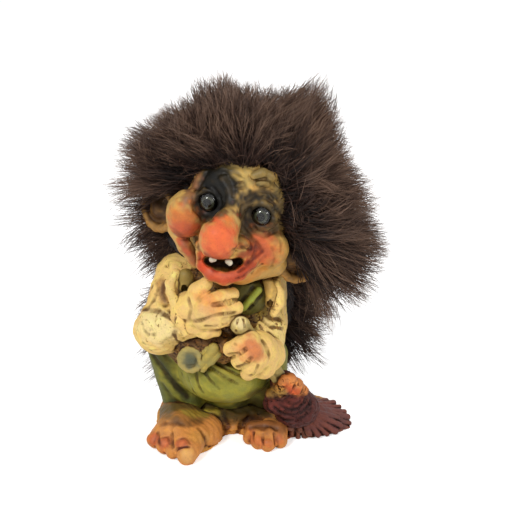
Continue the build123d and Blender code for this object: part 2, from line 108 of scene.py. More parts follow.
# How the fibres lie. Bends are in millimetres, aims are shares of the distance, and a tone runs from
# 0, dark, to 1, pale
LOCK_WIDTH = 0.05  # how widely the roots of a lock are scattered
LOCK_LEAN = 0.2  # how far a lock leans from straight out
LOCK_AIM = 0.035  # how widely the fibres of a lock aim
STRAY_AIM = 0.26  # how widely the strays aim
STRAY_SHARE = 0.1
LOCK_LENGTHS = (0.84, 1.1)  # shares of the pile's reach
SHORTEST_CUT = 0.42  # share of its length that the shortest fibre of a lock lacks
LOCK_BEND = 2.6
FIBRE_BEND = 0.9
FIBRE_ARCH = 3.5  # how far the middle of a fibre stands out from the straight line
LOCK_TONES = (-0.5, 0.5)
MIDDLE_TONE = 0.42
FIBRE_TONE = 0.24
FIBRE_SWING = 0.5
FIBRE_WAVES = 1.4
FIBRE_TAPER = 0.8  # share of its width that a fibre loses from root to tip
SLANT = np.array((0.31, 0.77, 0.55))  # a direction that hardly any fibre follows

# The stage, in metres and watts
FLOOR_HALF = 3.0
FLOOR_LIFT = 0.52  # glow that brings the card up to white, seen by the camera only
STUDIO_LIGHT = 0.45  # level of the studio's walls as light on the figure
LAMPS = (
    # name, place, width, power
    ("key_softbox", (-0.45, -0.75, 0.85), 0.3, 6.8),
    ("fill_softbox", (0.8, -0.5, 0.5), 0.4, 2.5),
    ("back_softbox", (0.2, 0.8, 0.9), 0.6, 3.0),
)
LAMPS_AIM = (0.0, 0.0, 0.06)


def linear(hex_colour):
    """Linear colour of an sRGB hex value."""
    channels = [int(hex_colour[i : i + 2], 16) / 255 for i in (1, 3, 5)]
    return tuple(c / 12.92 if c <= 0.04045 else ((c + 0.055) / 1.055) ** 2.4 for c in channels) + (1.0,)


def as_colour(colour):
    """A linear colour from a hex value, or the colour itself where it is a setting."""
    return linear(colour) if isinstance(colour, str) else colour


def ray(pixel):
    """Direction from the camera through a pixel."""
    across = (pixel[0] - HALF_FRAME) / HALF_FRAME * HALF_VIEW
    up = (HALF_FRAME - pixel[1]) / HALF_FRAME * HALF_VIEW
    along = FORWARD + RIGHT * across + UP * up
    return along / np.linalg.norm(along)


def spot(across, down, depth):
    """Place that shows at a pixel and lies at a depth, which is its y."""
    along = ray((across, down))
    return LOOK_FROM + along * ((depth - LOOK_FROM[1]) / along[1])


def level(across, down, height):
    """Place that shows at a pixel and lies at a height, which is its z."""
    along = ray((across, down))
    return LOOK_FROM + along * ((height - LOOK_FROM[2]) / along[2])


def shown(pixels, depths):
    """Places at several pixels, each at its own depth."""
    return [spot(across, down, depth) for (across, down), depth in zip(pixels, depths)]


def on_head(across, out, up):
    """Place on the head, in millimetres from its middle."""
    return HEAD_CENTRE + HEAD_RIGHT * across + FACE_FORWARD * out + HEAD_UP * up


def head_axes():
    """Rows that point rightward, forward and up on the head."""
    return np.array((HEAD_RIGHT, FACE_FORWARD, HEAD_UP))


EYE_CENTRES = {-1: on_head(-8.3, 15.9, 4.1), 1: on_head(10.05, 15.5, 4.1)}
EAR_CENTRES = {-1: on_head(-27.5, 0.4, -8.2), 1: on_head(23.8, 2.0, -12.5)}
BUTTON_CENTRE = spot(190.7, 359.5, -24.4)
BUTTON_FACING = np.array((-0.25, -1.0, 0.15)) / 1.042
CROWN = spot(296, 408, -14)

# Edge of the moulded ground, and the tips of the broom's twigs with their depths
GROUND_OUTLINE = np.array(
    (
        (-31.0, -6.0), (-29.0, -17.0), (-23.0, -25.0), (-15.8, -28.5), (-11.7, -22.0), (-9.5, -17.0),
        (-7.0, -12.4), (-4.2, -10.4), (0.0, -10.2), (2.5, -12.6), (4.6, -16.0), (7.7, -18.8), (10.5, -19.6),
        (15.0, -16.4), (19.3, -12.3), (26.0, -9.5), (32.5, -6.0), (36.0, 2.0), (36.0, 14.0), (28.0, 21.0),
        (13.0, 25.0), (-4.0, 25.0), (-16.0, 24.0), (-26.0, 16.0), (-31.5, 8.0),
    )
)
TWIG_TIPS = (
    (318, 400, 2), (326, 400.5, 2), (333, 403, 1), (339, 407, 0), (344, 412, -1), (347.5, 417, -2),
    (349, 423, -3), (348, 429, -4), (345, 434, -5.5), (340, 437, -7), (334, 439.5, -8), (328, 440.5, -9),
    (321, 441, -10), (314, 440.5, -11), (306, 439.5, -12), (298, 437.5, -13), (291, 434, -14),
    (331, 412, -5), (338, 418, -6.5), (340, 425, -8), (335, 431, -10), (327, 434, -11.5), (318, 434.5, -13),
    (309, 433, -14), (300, 430, -15), (324, 407, -4), (290, 428, -16),
)


def from_limb(points, start, end, start_radius, end_radius):
    """Signed distance from a tapered limb."""
    axis = end - start
    share = np.clip((points - start) @ axis / max(axis @ axis, 1e-9), 0, 1)
    away = np.linalg.norm(points - start - share[:, None] * axis, axis=1)
    return away - (start_radius + (end_radius - start_radius) * share)


def from_egg(points, centre, radii, axes):
    """Signed distance, near enough, from an egg whose own axes are the rows given."""
    local = (points - centre) @ axes.T
    near = np.linalg.norm(local / radii, axis=1)
    steep = np.linalg.norm(local / radii**2, axis=1)
    return near * (near - 1) / np.maximum(steep, 1e-6)


def inside(outline, across, along):
    """Whether flat places lie inside a closed outline."""
    within = np.zeros(len(across), dtype=bool)
    for start, end in zip(outline, np.roll(outline, -1, axis=0)):
        edge = end - start
        crosses = (start[1] > along) != (end[1] > along)
        meets = start[0] + (along - start[1]) / (edge[1] or 1e-9) * edge[0]
        within ^= crosses & (across < meets)
    return within


def from_plate(points, outline, low, high, rounding):
    """Signed distance from a flat plate with rounded edges."""
    flat = np.full(len(points), np.inf)
    for start, end in zip(outline, np.roll(outline, -1, axis=0)):
        edge = end - start
        offset = points[:, :2] - start
        share = np.clip(offset @ edge / (edge @ edge), 0, 1)
        flat = np.minimum(flat, np.linalg.norm(offset - share[:, None] * edge, axis=1))
    flat = np.where(inside(outline, points[:, 0], points[:, 1]), -flat, flat) + rounding
    deep = np.maximum(low - points[:, 2], points[:, 2] - high) + rounding
    outer = np.hypot(np.maximum(flat, 0), np.maximum(deep, 0))
    return np.minimum(np.maximum(flat, deep), 0) + outer - rounding


def from_line(points, line):
    """Least distance from a line through several places."""
    least = np.full(len(points), np.inf)
    for start, end in zip(line, line[1:]):
        least = np.minimum(least, from_limb(points, start, end, 0, 0))
    return least


def joined(one, other, softness):
    """Two distances joined with a soft fillet."""
    blend = np.maximum(softness - np.abs(one - other), 0) / softness
    return np.minimum(one, other) - blend * blend * softness / 4


def unevenness(points):
    """Smooth small swells from about minus one to one, as hand modelling leaves them."""
    chance = np.random.default_rng(RANDOM_SEED)
    swell = np.zeros(len(points))
    for length in (1.5, 2.1, 2.8, 3.7, 4.8, 6.1, 7.7):
        direction = chance.normal(size=3)
        direction *= 2 * math.pi / length / np.linalg.norm(direction)
        swell += np.sin(points @ direction + chance.uniform(0, 2 * math.pi)) * math.sqrt(length)
    return swell / 6


class Clay:
    """Modelling clay: lumps pressed together and hollows cut out, then lines drawn on its surface."""

    def __init__(self, grain=0.0, crags=0.0, stands=False):
        self.lumps = []
        self.marks = []
        self.grain = grain
        self.crags = crags
        self.stands = stands

    def add(self, shape, softness, hollow):
        """Presses on a lump, or cuts a hollow, with a fillet as wide as the softness."""
        self.lumps.append((shape, softness, hollow))

    def ball(self, centre, radius, softness=1.5, hollow=False):
        """A round lump."""
        self.add(lambda points: from_limb(points, centre, centre, radius, radius), softness, hollow)

    def limb(self, start, end, start_radius, end_radius, softness=1.5, hollow=False):
        """A lump drawn out from one place to another."""
        self.add(lambda points: from_limb(points, start, end, start_radius, end_radius), softness, hollow)

    def egg(self, centre, radii, softness=1.5, turn=None, hollow=False):
        """An egg, along the world's axes or along the rows given."""
        axes = np.eye(3) if turn is None else turn
        self.add(lambda points: from_egg(points, centre, np.array(radii), axes), softness, hollow)

    def plate(self, outline, low, high, rounding):
        """A flat plate between two heights."""
        self.add(lambda points: from_plate(points, outline, low, high, rounding), 1.0, False)

    def rope(self, places, radii, softness=1.0):
        """Limbs through several places, with a radius at each."""
        for index in range(len(places) - 1):
            self.limb(places[index], places[index + 1], radii[index], radii[index + 1], softness)

    def mark(self, pixels, width, height):
        """Raises the surface along a drawn line, or presses it in where the height is negative."""
        self.marks.append((self.seen(pixels), width, height))

    def draw(self, lines):
        """Draws several marks, each given as its pixels, width and height."""
        for pixels, width, height in lines:
            self.mark(pixels, width, height)

    def body(self, points):
        """Signed distance from the lumps and hollows alone."""
        distance = np.full(len(points), 1e3)
        for shape, softness, hollow in self.lumps:
            if hollow:
                distance = -joined(-distance, shape(points), softness)
            else:
                distance = joined(distance, shape(points), softness)
        return np.maximum(distance, -points[:, 2]) if self.stands else distance

    def seen(self, pixels):
        """Places where the reference camera's rays through pixels meet the clay, or pass nearest to it."""
        along = np.array([ray(pixel) for pixel in pixels])
        travel = np.full(len(along), CAMERA_DISTANCE - IN_FRONT)
        least = np.full(len(along), np.inf)
        places = LOOK_FROM + along * travel[:, None]
        for _ in range(RAY_STEPS):
            here = LOOK_FROM + along * travel[:, None]
            distance = self.body(here)
            closer = np.abs(distance) < least
            least = np.where(closer, np.abs(distance), least)
            places = np.where(closer[:, None], here, places)
            travel = travel + np.maximum(distance * 0.8, 0.0)
        return places

    def relief(self, points):
        """Height that the drawn lines and crags add to the surface."""
        height = np.zeros(len(points))
        for line, width, rise in self.marks:
            low = line.min(axis=0) - 3 * width
            high = line.max(axis=0) + 3 * width
            near = np.all((points > low) & (points < high), axis=1)
            if near.any():
                away = from_line(points[near], line) / width
                height[near] += rise * np.exp(-away * away)
        if self.crags:
            height -= self.crags * np.exp(-((unevenness(points * 1.3 + 40) / 0.16) ** 2))
        return height

    def field(self, points):
        """Signed distance with the relief and the unevenness of hand modelling."""
        distance = self.body(points) - self.relief(points)
        if self.grain:
            distance -= self.grain * unevenness(points)
        return np.maximum(distance, -points[:, 2]) if self.stands else distance


def net_over(field, low, high, step):
    """Points and four-sided faces of a net drawn over the surface where a field is zero."""
    axes = [np.arange(low[i], high[i] + step, step) for i in range(3)]
    grid = np.stack(np.meshgrid(*axes, indexing="ij"), axis=-1).reshape(-1, 3)
    value = np.concatenate([field(part) for part in np.array_split(grid, 1 + len(grid) // 100000)])
    value = value.reshape([len(axis) for axis in axes])
    cells = np.array(value.shape) - 1
    total = np.zeros((*cells, 3))
    count = np.zeros(cells)
    index = np.indices(cells).transpose(1, 2, 3, 0)
    crossings = []
    for axis in range(3):
        near = np.delete(value, -1, axis)
        far = np.delete(value, 0, axis)
        crossed = (near < 0) != (far < 0)
        share = np.where(crossed, near / np.where(crossed, near - far, 1), 0)
        crossings.append((crossed, near < 0))
        others = [other for other in range(3) if other != axis]
        for first in (0, 1):
            for second in (0, 1):
                window = [slice(None)] * 3
                window[others[0]] = slice(first, first + cells[others[0]])
                window[others[1]] = slice(second, second + cells[others[1]])
                here = crossed[tuple(window)]
                place = index.astype(float)
                place[..., axis] += share[tuple(window)]
                place[..., others[0]] += first
                place[..., others[1]] += second
                total += place * here[..., None]
                count += here
    used = count > 0
    number = np.full(cells, -1)
    number[used] = np.arange(used.sum())
    points = np.array(low) + total[used] / count[used][:, None] * step
    faces = []
    for axis, (crossed, below) in enumerate(crossings):
        others = [other for other in range(3) if other != axis]
        window = [slice(None)] * 3
        for other in others:
            window[other] = slice(1, cells[other])
        where = np.argwhere(crossed[tuple(window)])
        where[:, others] += 1
        corners = []
        for first, second in ((1, 1), (0, 1), (0, 0), (1, 0)):
            cell = where.copy()
            cell[:, others[0]] -= first
            cell[:, others[1]] -= second
            corners.append(number[tuple(cell.T)])
        quads = np.stack(corners, axis=1)
        turned = below[tuple(where.T)] == (axis == 1)
        quads[turned] = quads[turned][:, ::-1]
        faces.append(quads)
    return points, np.concatenate(faces)


def finer(points, faces):
    """Splits each four-sided face into four."""
    ends = np.sort(np.stack([faces, np.roll(faces, -1, axis=1)], axis=-1), axis=-1)
    keys = ends[..., 0].astype(np.int64) * len(points) + ends[..., 1]
    edges, which = np.unique(keys.ravel(), return_inverse=True)
    middle = which.reshape(faces.shape) + len(points)
    middles = (points[edges // len(points)] + points[edges % len(points)]) / 2
    centres = points[faces].mean(axis=1)
    centre = np.arange(len(faces)) + len(points) + len(edges)
    quarters = [np.stack([faces[:, i], middle[:, i], centre, middle[:, i - 1]], axis=1) for i in range(4)]
    return np.concatenate([points, middles, centres]), np.concatenate(quarters)


def slope(field, points, value):
    """Direction in which a field grows fastest."""
    step = 0.04
    return np.stack([(field(points + np.eye(3)[i] * step) - value) / step for i in range(3)], axis=1)


def settled(points, field):
    """Moves points onto the surface where a field is zero."""
    for _ in range(3):
        value = field(points)
        steepness = slope(field, points, value)
        steep = np.maximum((steepness**2).sum(axis=1), LEAST_STEEP)
        move = np.clip(value / steep, -LONGEST_MOVE, LONGEST_MOVE)
        points = points - steepness * move[:, None]
    return points


class Paint:
    """Paint on a piece: a ground colour, then soft patches and brushed lines over it."""

    def __init__(self, name, ground):
        self.clay = clay_of(name)
        self.ground = as_colour(ground)
        self.strokes = []

    def brush(self, strokes):
        """Brushes lines through the places that show at the pixels, or dabs a patch at one. Each is given as
        its pixels, radius, colour and strength."""
        for pixels, radius, colour, strength in strokes:
            places = list(self.clay.seen(pixels))
            self.strokes.append(
                (places if len(places) > 1 else places * 2, radius, as_colour(colour), strength)
            )

    def patch(self, place, radius, colour, strength):
        """Dabs a patch at a place."""
        self.strokes.append(([place, place], radius, as_colour(colour), strength))

    def colours(self, points):
        """The paint's colour at each point."""
        shade = np.tile(np.array(self.ground[:3], dtype=float), (len(points), 1))
        blur = 1 + 0.22 * unevenness(points * 1.7)
        for places, radius, colour, strength in self.strokes:
            away = from_line(points, places) / radius * blur
            share = strength * np.exp(-(away**4))
            shade += (np.array(colour[:3]) - shade) * share[:, None]
        return shade


def shape_head():
    """Skull, cheeks, nose, lips and brows."""
    clay = Clay(grain=0.1)
    clay.limb(on_head(0, 0, 3.4), on_head(0, 0, -6.2), 20.3, 17.8)
    right_cheek = spot(186, 214, -20)
    left_cheek = spot(265, 247, -21)
    muzzle = spot(228, 252, -23)
    chin = spot(230, 266, -20)
    jaw_start, jaw_end = spot(240, 273, -21.5), spot(272, 262, -16.5)
    right_jowl = shown([(174, 229), (185, 246), (195, 262)], [-18, -21, -22])
    clay.egg(right_cheek, (6.8, 6.5, 8.4), 2.5, head_axes())
    clay.egg(left_cheek, (8.2, 6.0, 7.2), 3.0, head_axes())
    clay.egg(muzzle, (11, 7, 6.5), 3.0, head_axes())
    clay.egg(chin, (10, 7.5, 5), 2.5, head_axes())
    clay.limb(jaw_start, jaw_end, 3.4, 5.2, 2.5)
    clay.rope(right_jowl, (2.2, 2.4, 2.0), 1.0)
    # Eye sockets with rolled lids
    for centre in EYE_CENTRES.values():
        clay.ball(centre + FACE_FORWARD * 4.4, 5.2, 1.6, hollow=True)
        lids = [
            centre + FACE_FORWARD * 1.2 + HEAD_RIGHT * 4.3 * math.cos(turn) + HEAD_UP * 4.1 * math.sin(turn)
            for turn in np.linspace(0, 2 * math.pi, 13)
        ]
        clay.rope(lids, [0.95] * len(lids), 0.9)
        clay.ball(centre, 3.3, 0.3, hollow=True)
    # Nose: a narrow bridge that ends in a ball, with small wings
    bridge = shown(
        [(238, 184), (236, 199), (232.5, 212), (227, 223), (220, 235)], [-25.0, -26.8, -28.4, -30.4, -33.0]
    )
    nose_ball = spot(218, 242, -33.4)
    left_wing = spot(240, 243, -28.4)
    right_wing = spot(202, 246, -26.8)
    clay.rope(bridge, (1.8, 2.1, 2.7, 4.4, 6.2), 1.6)
    clay.egg(nose_ball, (6.1, 6.2, 6.2), 2.0, head_axes())
    clay.egg(left_wing, (3.4, 2.6, 2.3), 1.8, head_axes())
    clay.egg(right_wing, (2.4, 2.4, 2.2), 1.5, head_axes())
    # Mouth: a thin upper lip, a fat lower lip and the dark opening between them
    upper_lip = shown(
        [(203, 253), (214, 257.5), (228, 258.5), (241, 255), (254, 248)], [-26.5, -28.6, -29.2, -28.2, -25.4]
    )
    lower_lip = shown(
        [(200, 253), (203, 264), (212, 273), (225, 277), (239, 273), (250, 263.5), (259, 253)],
        [-26, -28, -29.4, -29.8, -28.8, -26.8, -24.2],
    )
    # The opening is a row of round holes, each by its pixel and radius
    opening = (
        (207, 260, 1.2), (211, 262, 1.7), (218, 264.5, 2.1), (226, 265.5, 2.2), (233, 264.5, 1.9),
        (239, 261.5, 1.3),
    )
    clay.rope(upper_lip, (1.2, 1.4, 1.5, 1.5, 1.2), 1.1)
    clay.rope(lower_lip, (1.4, 2.2, 2.6, 2.7, 2.5, 2.0, 1.2), 1.2)
    for across, down, radius in opening:
        clay.limb(spot(across, down, -36), spot(across, down, -23), radius, radius, 0.9, hollow=True)
    # Creases of the smile and the cheeks
    smile_creases = (
        ([(256, 245), (255, 254), (248, 264), (238, 272)], 0.45, -0.7),
        ([(265, 256), (257, 266), (246, 274), (236, 279)], 0.45, -0.6),
        ([(248, 266), (240, 271)], 0.5, -0.4),
        ([(262, 264), (252, 273)], 0.4, -0.4),
        ([(195, 237), (197, 246), (199, 258)], 0.7, -1.2),
        ([(246, 237), (255, 242), (262, 250)], 0.7, -0.5),
        ([(233, 250), (241, 247), (250, 248)], 0.6, -0.6),
        ([(228, 250), (235, 252), (246, 251)], 0.6, 0.5),
        ([(272, 248), (275, 258), (270, 268)], 0.8, -0.3),
        ([(280, 240), (281, 252)], 0.7, -0.25),
    )
    clay.draw(smile_creases)
    # Lids, bags and wrinkles round the eyes
    lids_and_bags = (
        ([(250, 208), (250, 220), (256, 229), (266, 231), (275, 226)], 0.6, -0.6),
        ([(246, 212), (246, 224), (253, 233), (265, 236), (277, 230)], 0.6, -0.5),
        ([(242, 206), (240, 217), (244, 228), (250, 236)], 0.6, -0.5),
        ([(248, 203), (256, 197), (267, 198), (275, 206)], 0.6, -0.5),
        ([(246, 198), (257, 191), (270, 192), (279, 201)], 0.6, -0.45),
        ([(272, 208), (279, 212), (283, 220)], 0.5, -0.45),
        ([(273, 216), (280, 221)], 0.5, -0.45),
        ([(196, 204), (202, 212), (212, 214), (219, 209)], 0.6, -0.55),
        ([(194, 210), (202, 218), (213, 219)], 0.6, -0.4),
        ([(197, 192), (205, 186), (214, 189), (220, 197)], 0.6, -0.5),
        ([(222, 178), (228, 190), (228, 203), (222, 214)], 0.9, 0.7),
        ([(226, 172), (233, 183), (234, 196)], 0.7, -0.5),
    )
    clay.draw(lids_and_bags)
    # Brow ridges at the hairline
    upper_brow = shown([(254, 176), (263, 173), (272, 177), (278, 184)], [-25.2, -24.6, -23.2, -21.8])
    lower_brow = shown([(258, 184), (267, 182), (275, 187), (281, 197)], [-25.8, -25.0, -23.4, -21.4])
    clay.rope(upper_brow, (1.2, 1.7, 1.6, 1.0), 0.7)
    clay.rope(lower_brow, (1.0, 1.5, 1.5, 1.0), 0.6)
    brow_marks = (
        ([(203, 172), (196, 183), (189, 197)], 1.3, 0.6),
        ([(207, 173), (201, 183), (197, 192)], 0.5, -0.5),
        ([(222, 168), (229, 171), (236, 170), (243, 173), (249, 172)], 1.0, 0.9),
        ([(226, 176), (234, 176), (242, 179)], 0.7, 0.5),
        ([(260, 179), (269, 180), (277, 187)], 0.6, -0.8),
        ([(232, 184), (243, 182)], 0.6, -0.4),
        ([(234, 189), (246, 188)], 0.5, -0.3),
    )
    clay.draw(brow_marks)
    return clay


def shape_ears(side):
    """A cupped ear with a rolled rim. The side is -1 for the figure's right and 1 for its left."""
    clay = Clay(grain=0.12)
    centre = EAR_CENTRES[side]
    facing = FACE_FORWARD + HEAD_RIGHT * side / 2
    facing = facing / np.linalg.norm(facing)
    across = np.cross(HEAD_UP, facing)
    across = across / np.linalg.norm(across)
    upward = np.cross(facing, across)
    axes = np.array((across, facing, upward))
    clay.egg(centre, (8.0, 2.5, 8.0), turn=axes)
    turns = np.linspace(0, 2 * math.pi, 17)
    rim = [centre + facing * 0.9 + (across * math.cos(a) + upward * math.sin(a)) * 7.1 for a in turns]
    clay.egg(centre + facing * 2.6, (6.3, 3.2, 6.3), 0.8, axes, hollow=True)
    clay.rope(rim, [1.35] * len(rim), 0.9)
    fold = [centre + facing * 0.2 + (across * math.cos(a) + upward * math.sin(a)) * 4.0 for a in turns[2:12]]
    clay.rope(fold, [0.7] * len(fold), 1.0)
    clay.limb(centre, centre - HEAD_RIGHT * side * 6, 3.4, 3.0, 2.0)
    return clay


def shape_ground():
    """Moulded ground that slopes from the trousers to a thin curved edge between the feet."""
    clay = Clay(grain=0.24, crags=0.1, stands=True)
    clay.plate(GROUND_OUTLINE, 0.0, 2.6, 0.9)
    clay.egg(np.array((-3.0, 2.5, 3.0)), (20, 11.6, 11.0), 2.0)
    clay.egg(np.array((14.0, 2.0, 0.0)), (14, 13.5, 12.0), 2.5)
    clay.egg(np.array((-16.0, -11.0, 0.0)), (9, 13, 7.4), 3.0)
    clay.egg(np.array((-4.0, 8.0, 1.0)), (19, 13.5, 9.0), 3.0)
    clay.egg(np.array((26.0, 4.0, 0.0)), (12, 12, 5.6), 3.0)
    ridges_and_dips = (
        ([(224, 437), (228, 426), (224, 414)], 0.9, -0.5),
        ([(236, 437), (240, 426), (250, 414)], 0.9, -0.6),
        ([(210, 445), (208, 432), (202, 420)], 0.9, -0.5),
        ([(188, 411), (202, 412.5), (217, 412)], 1.2, 1.2),
        ([(188, 419), (203, 421), (216, 419)], 0.8, -0.7),
        ([(252, 418), (262, 424), (272, 424)], 0.8, -0.6),
        ([(228, 412), (240, 416), (254, 412)], 0.9, 0.6),
        ([(262, 430), (270, 434), (284, 436)], 0.7, -0.4),
    )
    clay.draw(ridges_and_dips)
    return clay


def shape_right_foot():
    """Right foot with its toes."""
    clay = Clay(grain=0.16, stands=True)
    clay.limb(np.array((-22.4, -5, 7.0)), np.array((-22, -17, 5.4)), 7.4, 7.4, 2.5)
    clay.egg(np.array((-15, -14, 3.5)), (8.5, 10, 6.2), 3.0)
    # Each toe by the pixels and heights of its root and tip, its two radii and its softness
    toes = (
        ((166, 428, 6), (155, 440, 3.2), 3.8, 2.9, 1.4),
        ((172, 430, 6), (165, 445, 3.2), 3.8, 3.2, 1.0),
        ((183, 431, 7), (182, 446, 4.2), 4.2, 3.6, 1.0),
        ((196, 436, 5), (187, 455, 2.8), 4.6, 3.6, 1.4),
        ((173, 436, 5), (173, 452, 2.4), 3.4, 2.6, 1.0),
    )
    for root, tip, root_radius, tip_radius, softness in toes:
        clay.limb(level(*root), level(*tip), root_radius, tip_radius, softness)
    toe_lines = (
        ([(158, 433), (160, 445)], 0.6, -0.5),
        ([(172, 434), (173, 447)], 0.6, -0.6),
        ([(177, 450), (189, 447)], 0.6, -0.5),
        ([(161, 438), (168, 437), (170, 444)], 0.5, -0.35),
        ([(177, 440), (186, 438), (190, 444)], 0.5, -0.35),
        ([(162, 425), (172, 423), (184, 425)], 0.9, -0.4),
        ([(198, 428), (204, 436), (206, 446)], 0.9, -0.4),
    )
    clay.draw(toe_lines)
    return clay


def shape_left_foot():
    """Left foot, half under the broom."""
    clay = Clay(grain=0.16, stands=True)
    clay.limb(np.array((12, 0, 1.5)), np.array((11.0, -8, 2.0)), 4.4, 4.5, 2.5)
    # Each toe by the pixels and heights of its root and tip, its two radii and its softness
    toes = (
        ((254, 430, 5), (250, 437, 2.6), 3.4, 2.6, 1.4),
        ((260, 430, 5), (258, 441.5, 2.6), 3.4, 2.7, 1.0),
        ((269, 430, 5), (268, 444, 2.4), 3.6, 2.7, 1.0),
        ((279, 430, 5), (280, 441, 2.4), 3.4, 2.6, 1.2),
    )
    for root, tip, root_radius, tip_radius, softness in toes:
        clay.limb(level(*root), level(*tip), root_radius, tip_radius, softness)
    toe_lines = (
        ([(254, 433), (253, 442)], 0.5, -0.4),
        ([(263, 434), (263, 445)], 0.5, -0.45),
        ([(274, 434), (275, 444)], 0.5, -0.45),
        ([(250, 428), (262, 426), (276, 429)], 0.8, -0.4),
    )
    clay.draw(toe_lines)
    return clay


def shape_trousers():
    """Dungarees: a belly that overhangs two short legs."""
    clay = Clay(grain=0.1)
    clay.limb(np.array((-6, 2, 30)), np.array((-3.6, 1.5, 15)), 18.6, 10.6, 3.0)
    clay.limb(np.array((-6, 5, 24)), np.array((-5, 6.5, 12)), 15.5, 11.5, 3.0)
    clay.limb(np.array((-24.3, -3, 33)), np.array((-21.3, -3.5, 12)), 9.8, 7.6, 2.5)
    clay.limb(np.array((7.5, -2, 28)), np.array((9, 0, 14)), 9.6, 8.0, 2.5)
    clay.egg(np.array((-5.6, -9.0, 26.6)), (17.0, 16.2, 12.2), 1.6)
    folds = (
        ([(150, 352), (160, 366), (172, 381), (188, 397)], 1.3, -1.3),
        ([(160, 350), (171, 362), (181, 374)], 0.9, -0.6),
        ([(205, 356), (216, 363), (228, 370), (243, 378)], 0.55, -0.75),
        ([(206, 359), (217, 366.5), (229, 373.5), (244, 380)], 0.7, 0.5),
        ([(206, 363), (216, 371), (228, 379), (238, 384)], 0.5, -0.7),
        ([(205, 366), (215, 375.5), (226, 384)], 0.7, 0.5),
        ([(203, 369), (210, 380), (219, 389)], 0.5, -0.65),
        ([(200, 371), (204, 382), (210, 391)], 0.7, 0.4),
        ([(196, 373), (198, 384), (203, 393)], 0.5, -0.5),
        ([(212, 352), (224, 360), (240, 368)], 0.6, -0.6),
        ([(222, 361), (234, 367), (246, 372)], 0.5, -0.5),
        ([(188, 377), (191, 386), (197, 395)], 0.5, -0.35),
        ([(172, 376), (186, 393), (206, 402), (230, 403), (248, 397)], 1.6, 0.5),
        ([(146, 372), (154, 384), (160, 398)], 1.0, -0.5),
        ([(163, 385), (170, 396), (182, 405)], 1.0, -0.6),
    )
    clay.draw(folds)
    return clay


def shape_shirt():
    """Trunk of the shirt, crumpled where it shows above the trousers."""
    clay = Clay(grain=0.35, crags=0.7)
    clay.limb(np.array((-15.8, -6, 39.6)), np.array((2.2, -6, 39.6)), 13.9, 13.9, 3.0)
    clay.limb(np.array((-15, -4.5, 52.2)), np.array((3, -4.5, 52.2)), 13.6, 13.4, 3.0)
    clay.limb(np.array((-6, -4.5, 52.2)), np.array((0.6, -8, 73)), 13.5, 9.0, 3.0)
    return clay


def shape_right_sleeve():
    """Right sleeve, which swells at the elbow."""
    clay = Clay(grain=0.22, crags=0.12)
    clay.limb(np.array((-21.5, -5, 59)), np.array((-27.0, -12.5, 46)), 8.8, 7.6, 2.5)
    clay.egg(np.array((-28.0, -13.5, 42.6)), (9.6, 9.2, 8.6), 1.6)
    cuff = spot(186, 321, -21.5)
    rolled_edge = shown(
        [(176, 274), (170, 283), (171, 292), (175, 301), (178, 311), (180, 322), (186, 332)],
        [-19.5, -20.5, -22, -24.5, -26.5, -28, -27.5],
    )
    dimple = spot(164.5, 302, -21.5)
    clay.limb(np.array((-27.0, -14, 43.5)), cuff, 8.4, 6.3, 2.0)
    clay.rope(rolled_edge, (1.7, 1.8, 1.5, 1.8, 1.6, 1.9, 1.5), 0.6)
    clay.ball(dimple, 2.6, 0.8, hollow=True)
    folds = (
        ([(164, 283), (162, 293), (166, 305)], 0.9, -1.3),
        ([(152, 287), (146, 297), (141, 306)], 0.9, -0.8),
        ([(157, 290), (154, 300), (146, 308)], 0.7, -0.7),
        ([(137, 312), (149, 309), (160, 312), (170, 318)], 0.8, -0.7),
        ([(169, 309), (175, 318), (174, 333), (180, 343)], 0.7, -0.9),
        ([(141, 322), (147, 329), (152, 330)], 0.5, -0.25),
        ([(142, 327), (148, 334), (156, 335)], 0.5, -0.25),
        ([(160, 345), (171, 338), (178, 329)], 0.6, -0.5),
    )
    clay.draw(folds)
    return clay


def shape_left_sleeve():
    """Left sleeve, down to the fist round the broom."""
    clay = Clay(grain=0.24, crags=0.15)
    clay.limb(np.array((8.2, -5, 58)), np.array((8.6, -9.5, 44)), 8.4, 7.6, 2.5)
    clay.limb(np.array((8.6, -10, 44)), np.array((8.4, -18, 37)), 7.8, 6.8, 2.0)
    rolled_edge = shown([(276, 281), (279, 292), (279, 303), (274, 313)], [-15, -17, -18.5, -19.5])
    clay.rope(rolled_edge, (1.7, 1.9, 1.8, 1.5), 0.7)
    folds = (
        ([(270, 287), (269, 300), (267, 312)], 0.8, -1.1),
        ([(262, 309), (270, 318), (281, 320)], 0.8, -0.9),
        ([(260, 318), (270, 327), (283, 329)], 0.6, -0.6),
        ([(268, 333), (276, 340), (281, 350)], 0.7, -0.7),
        ([(271, 345), (274, 356), (270, 368)], 0.7, -0.6),
        ([(260, 326), (264, 335), (271, 341)], 0.5, -0.5),
    )
    clay.draw(folds)
    return clay


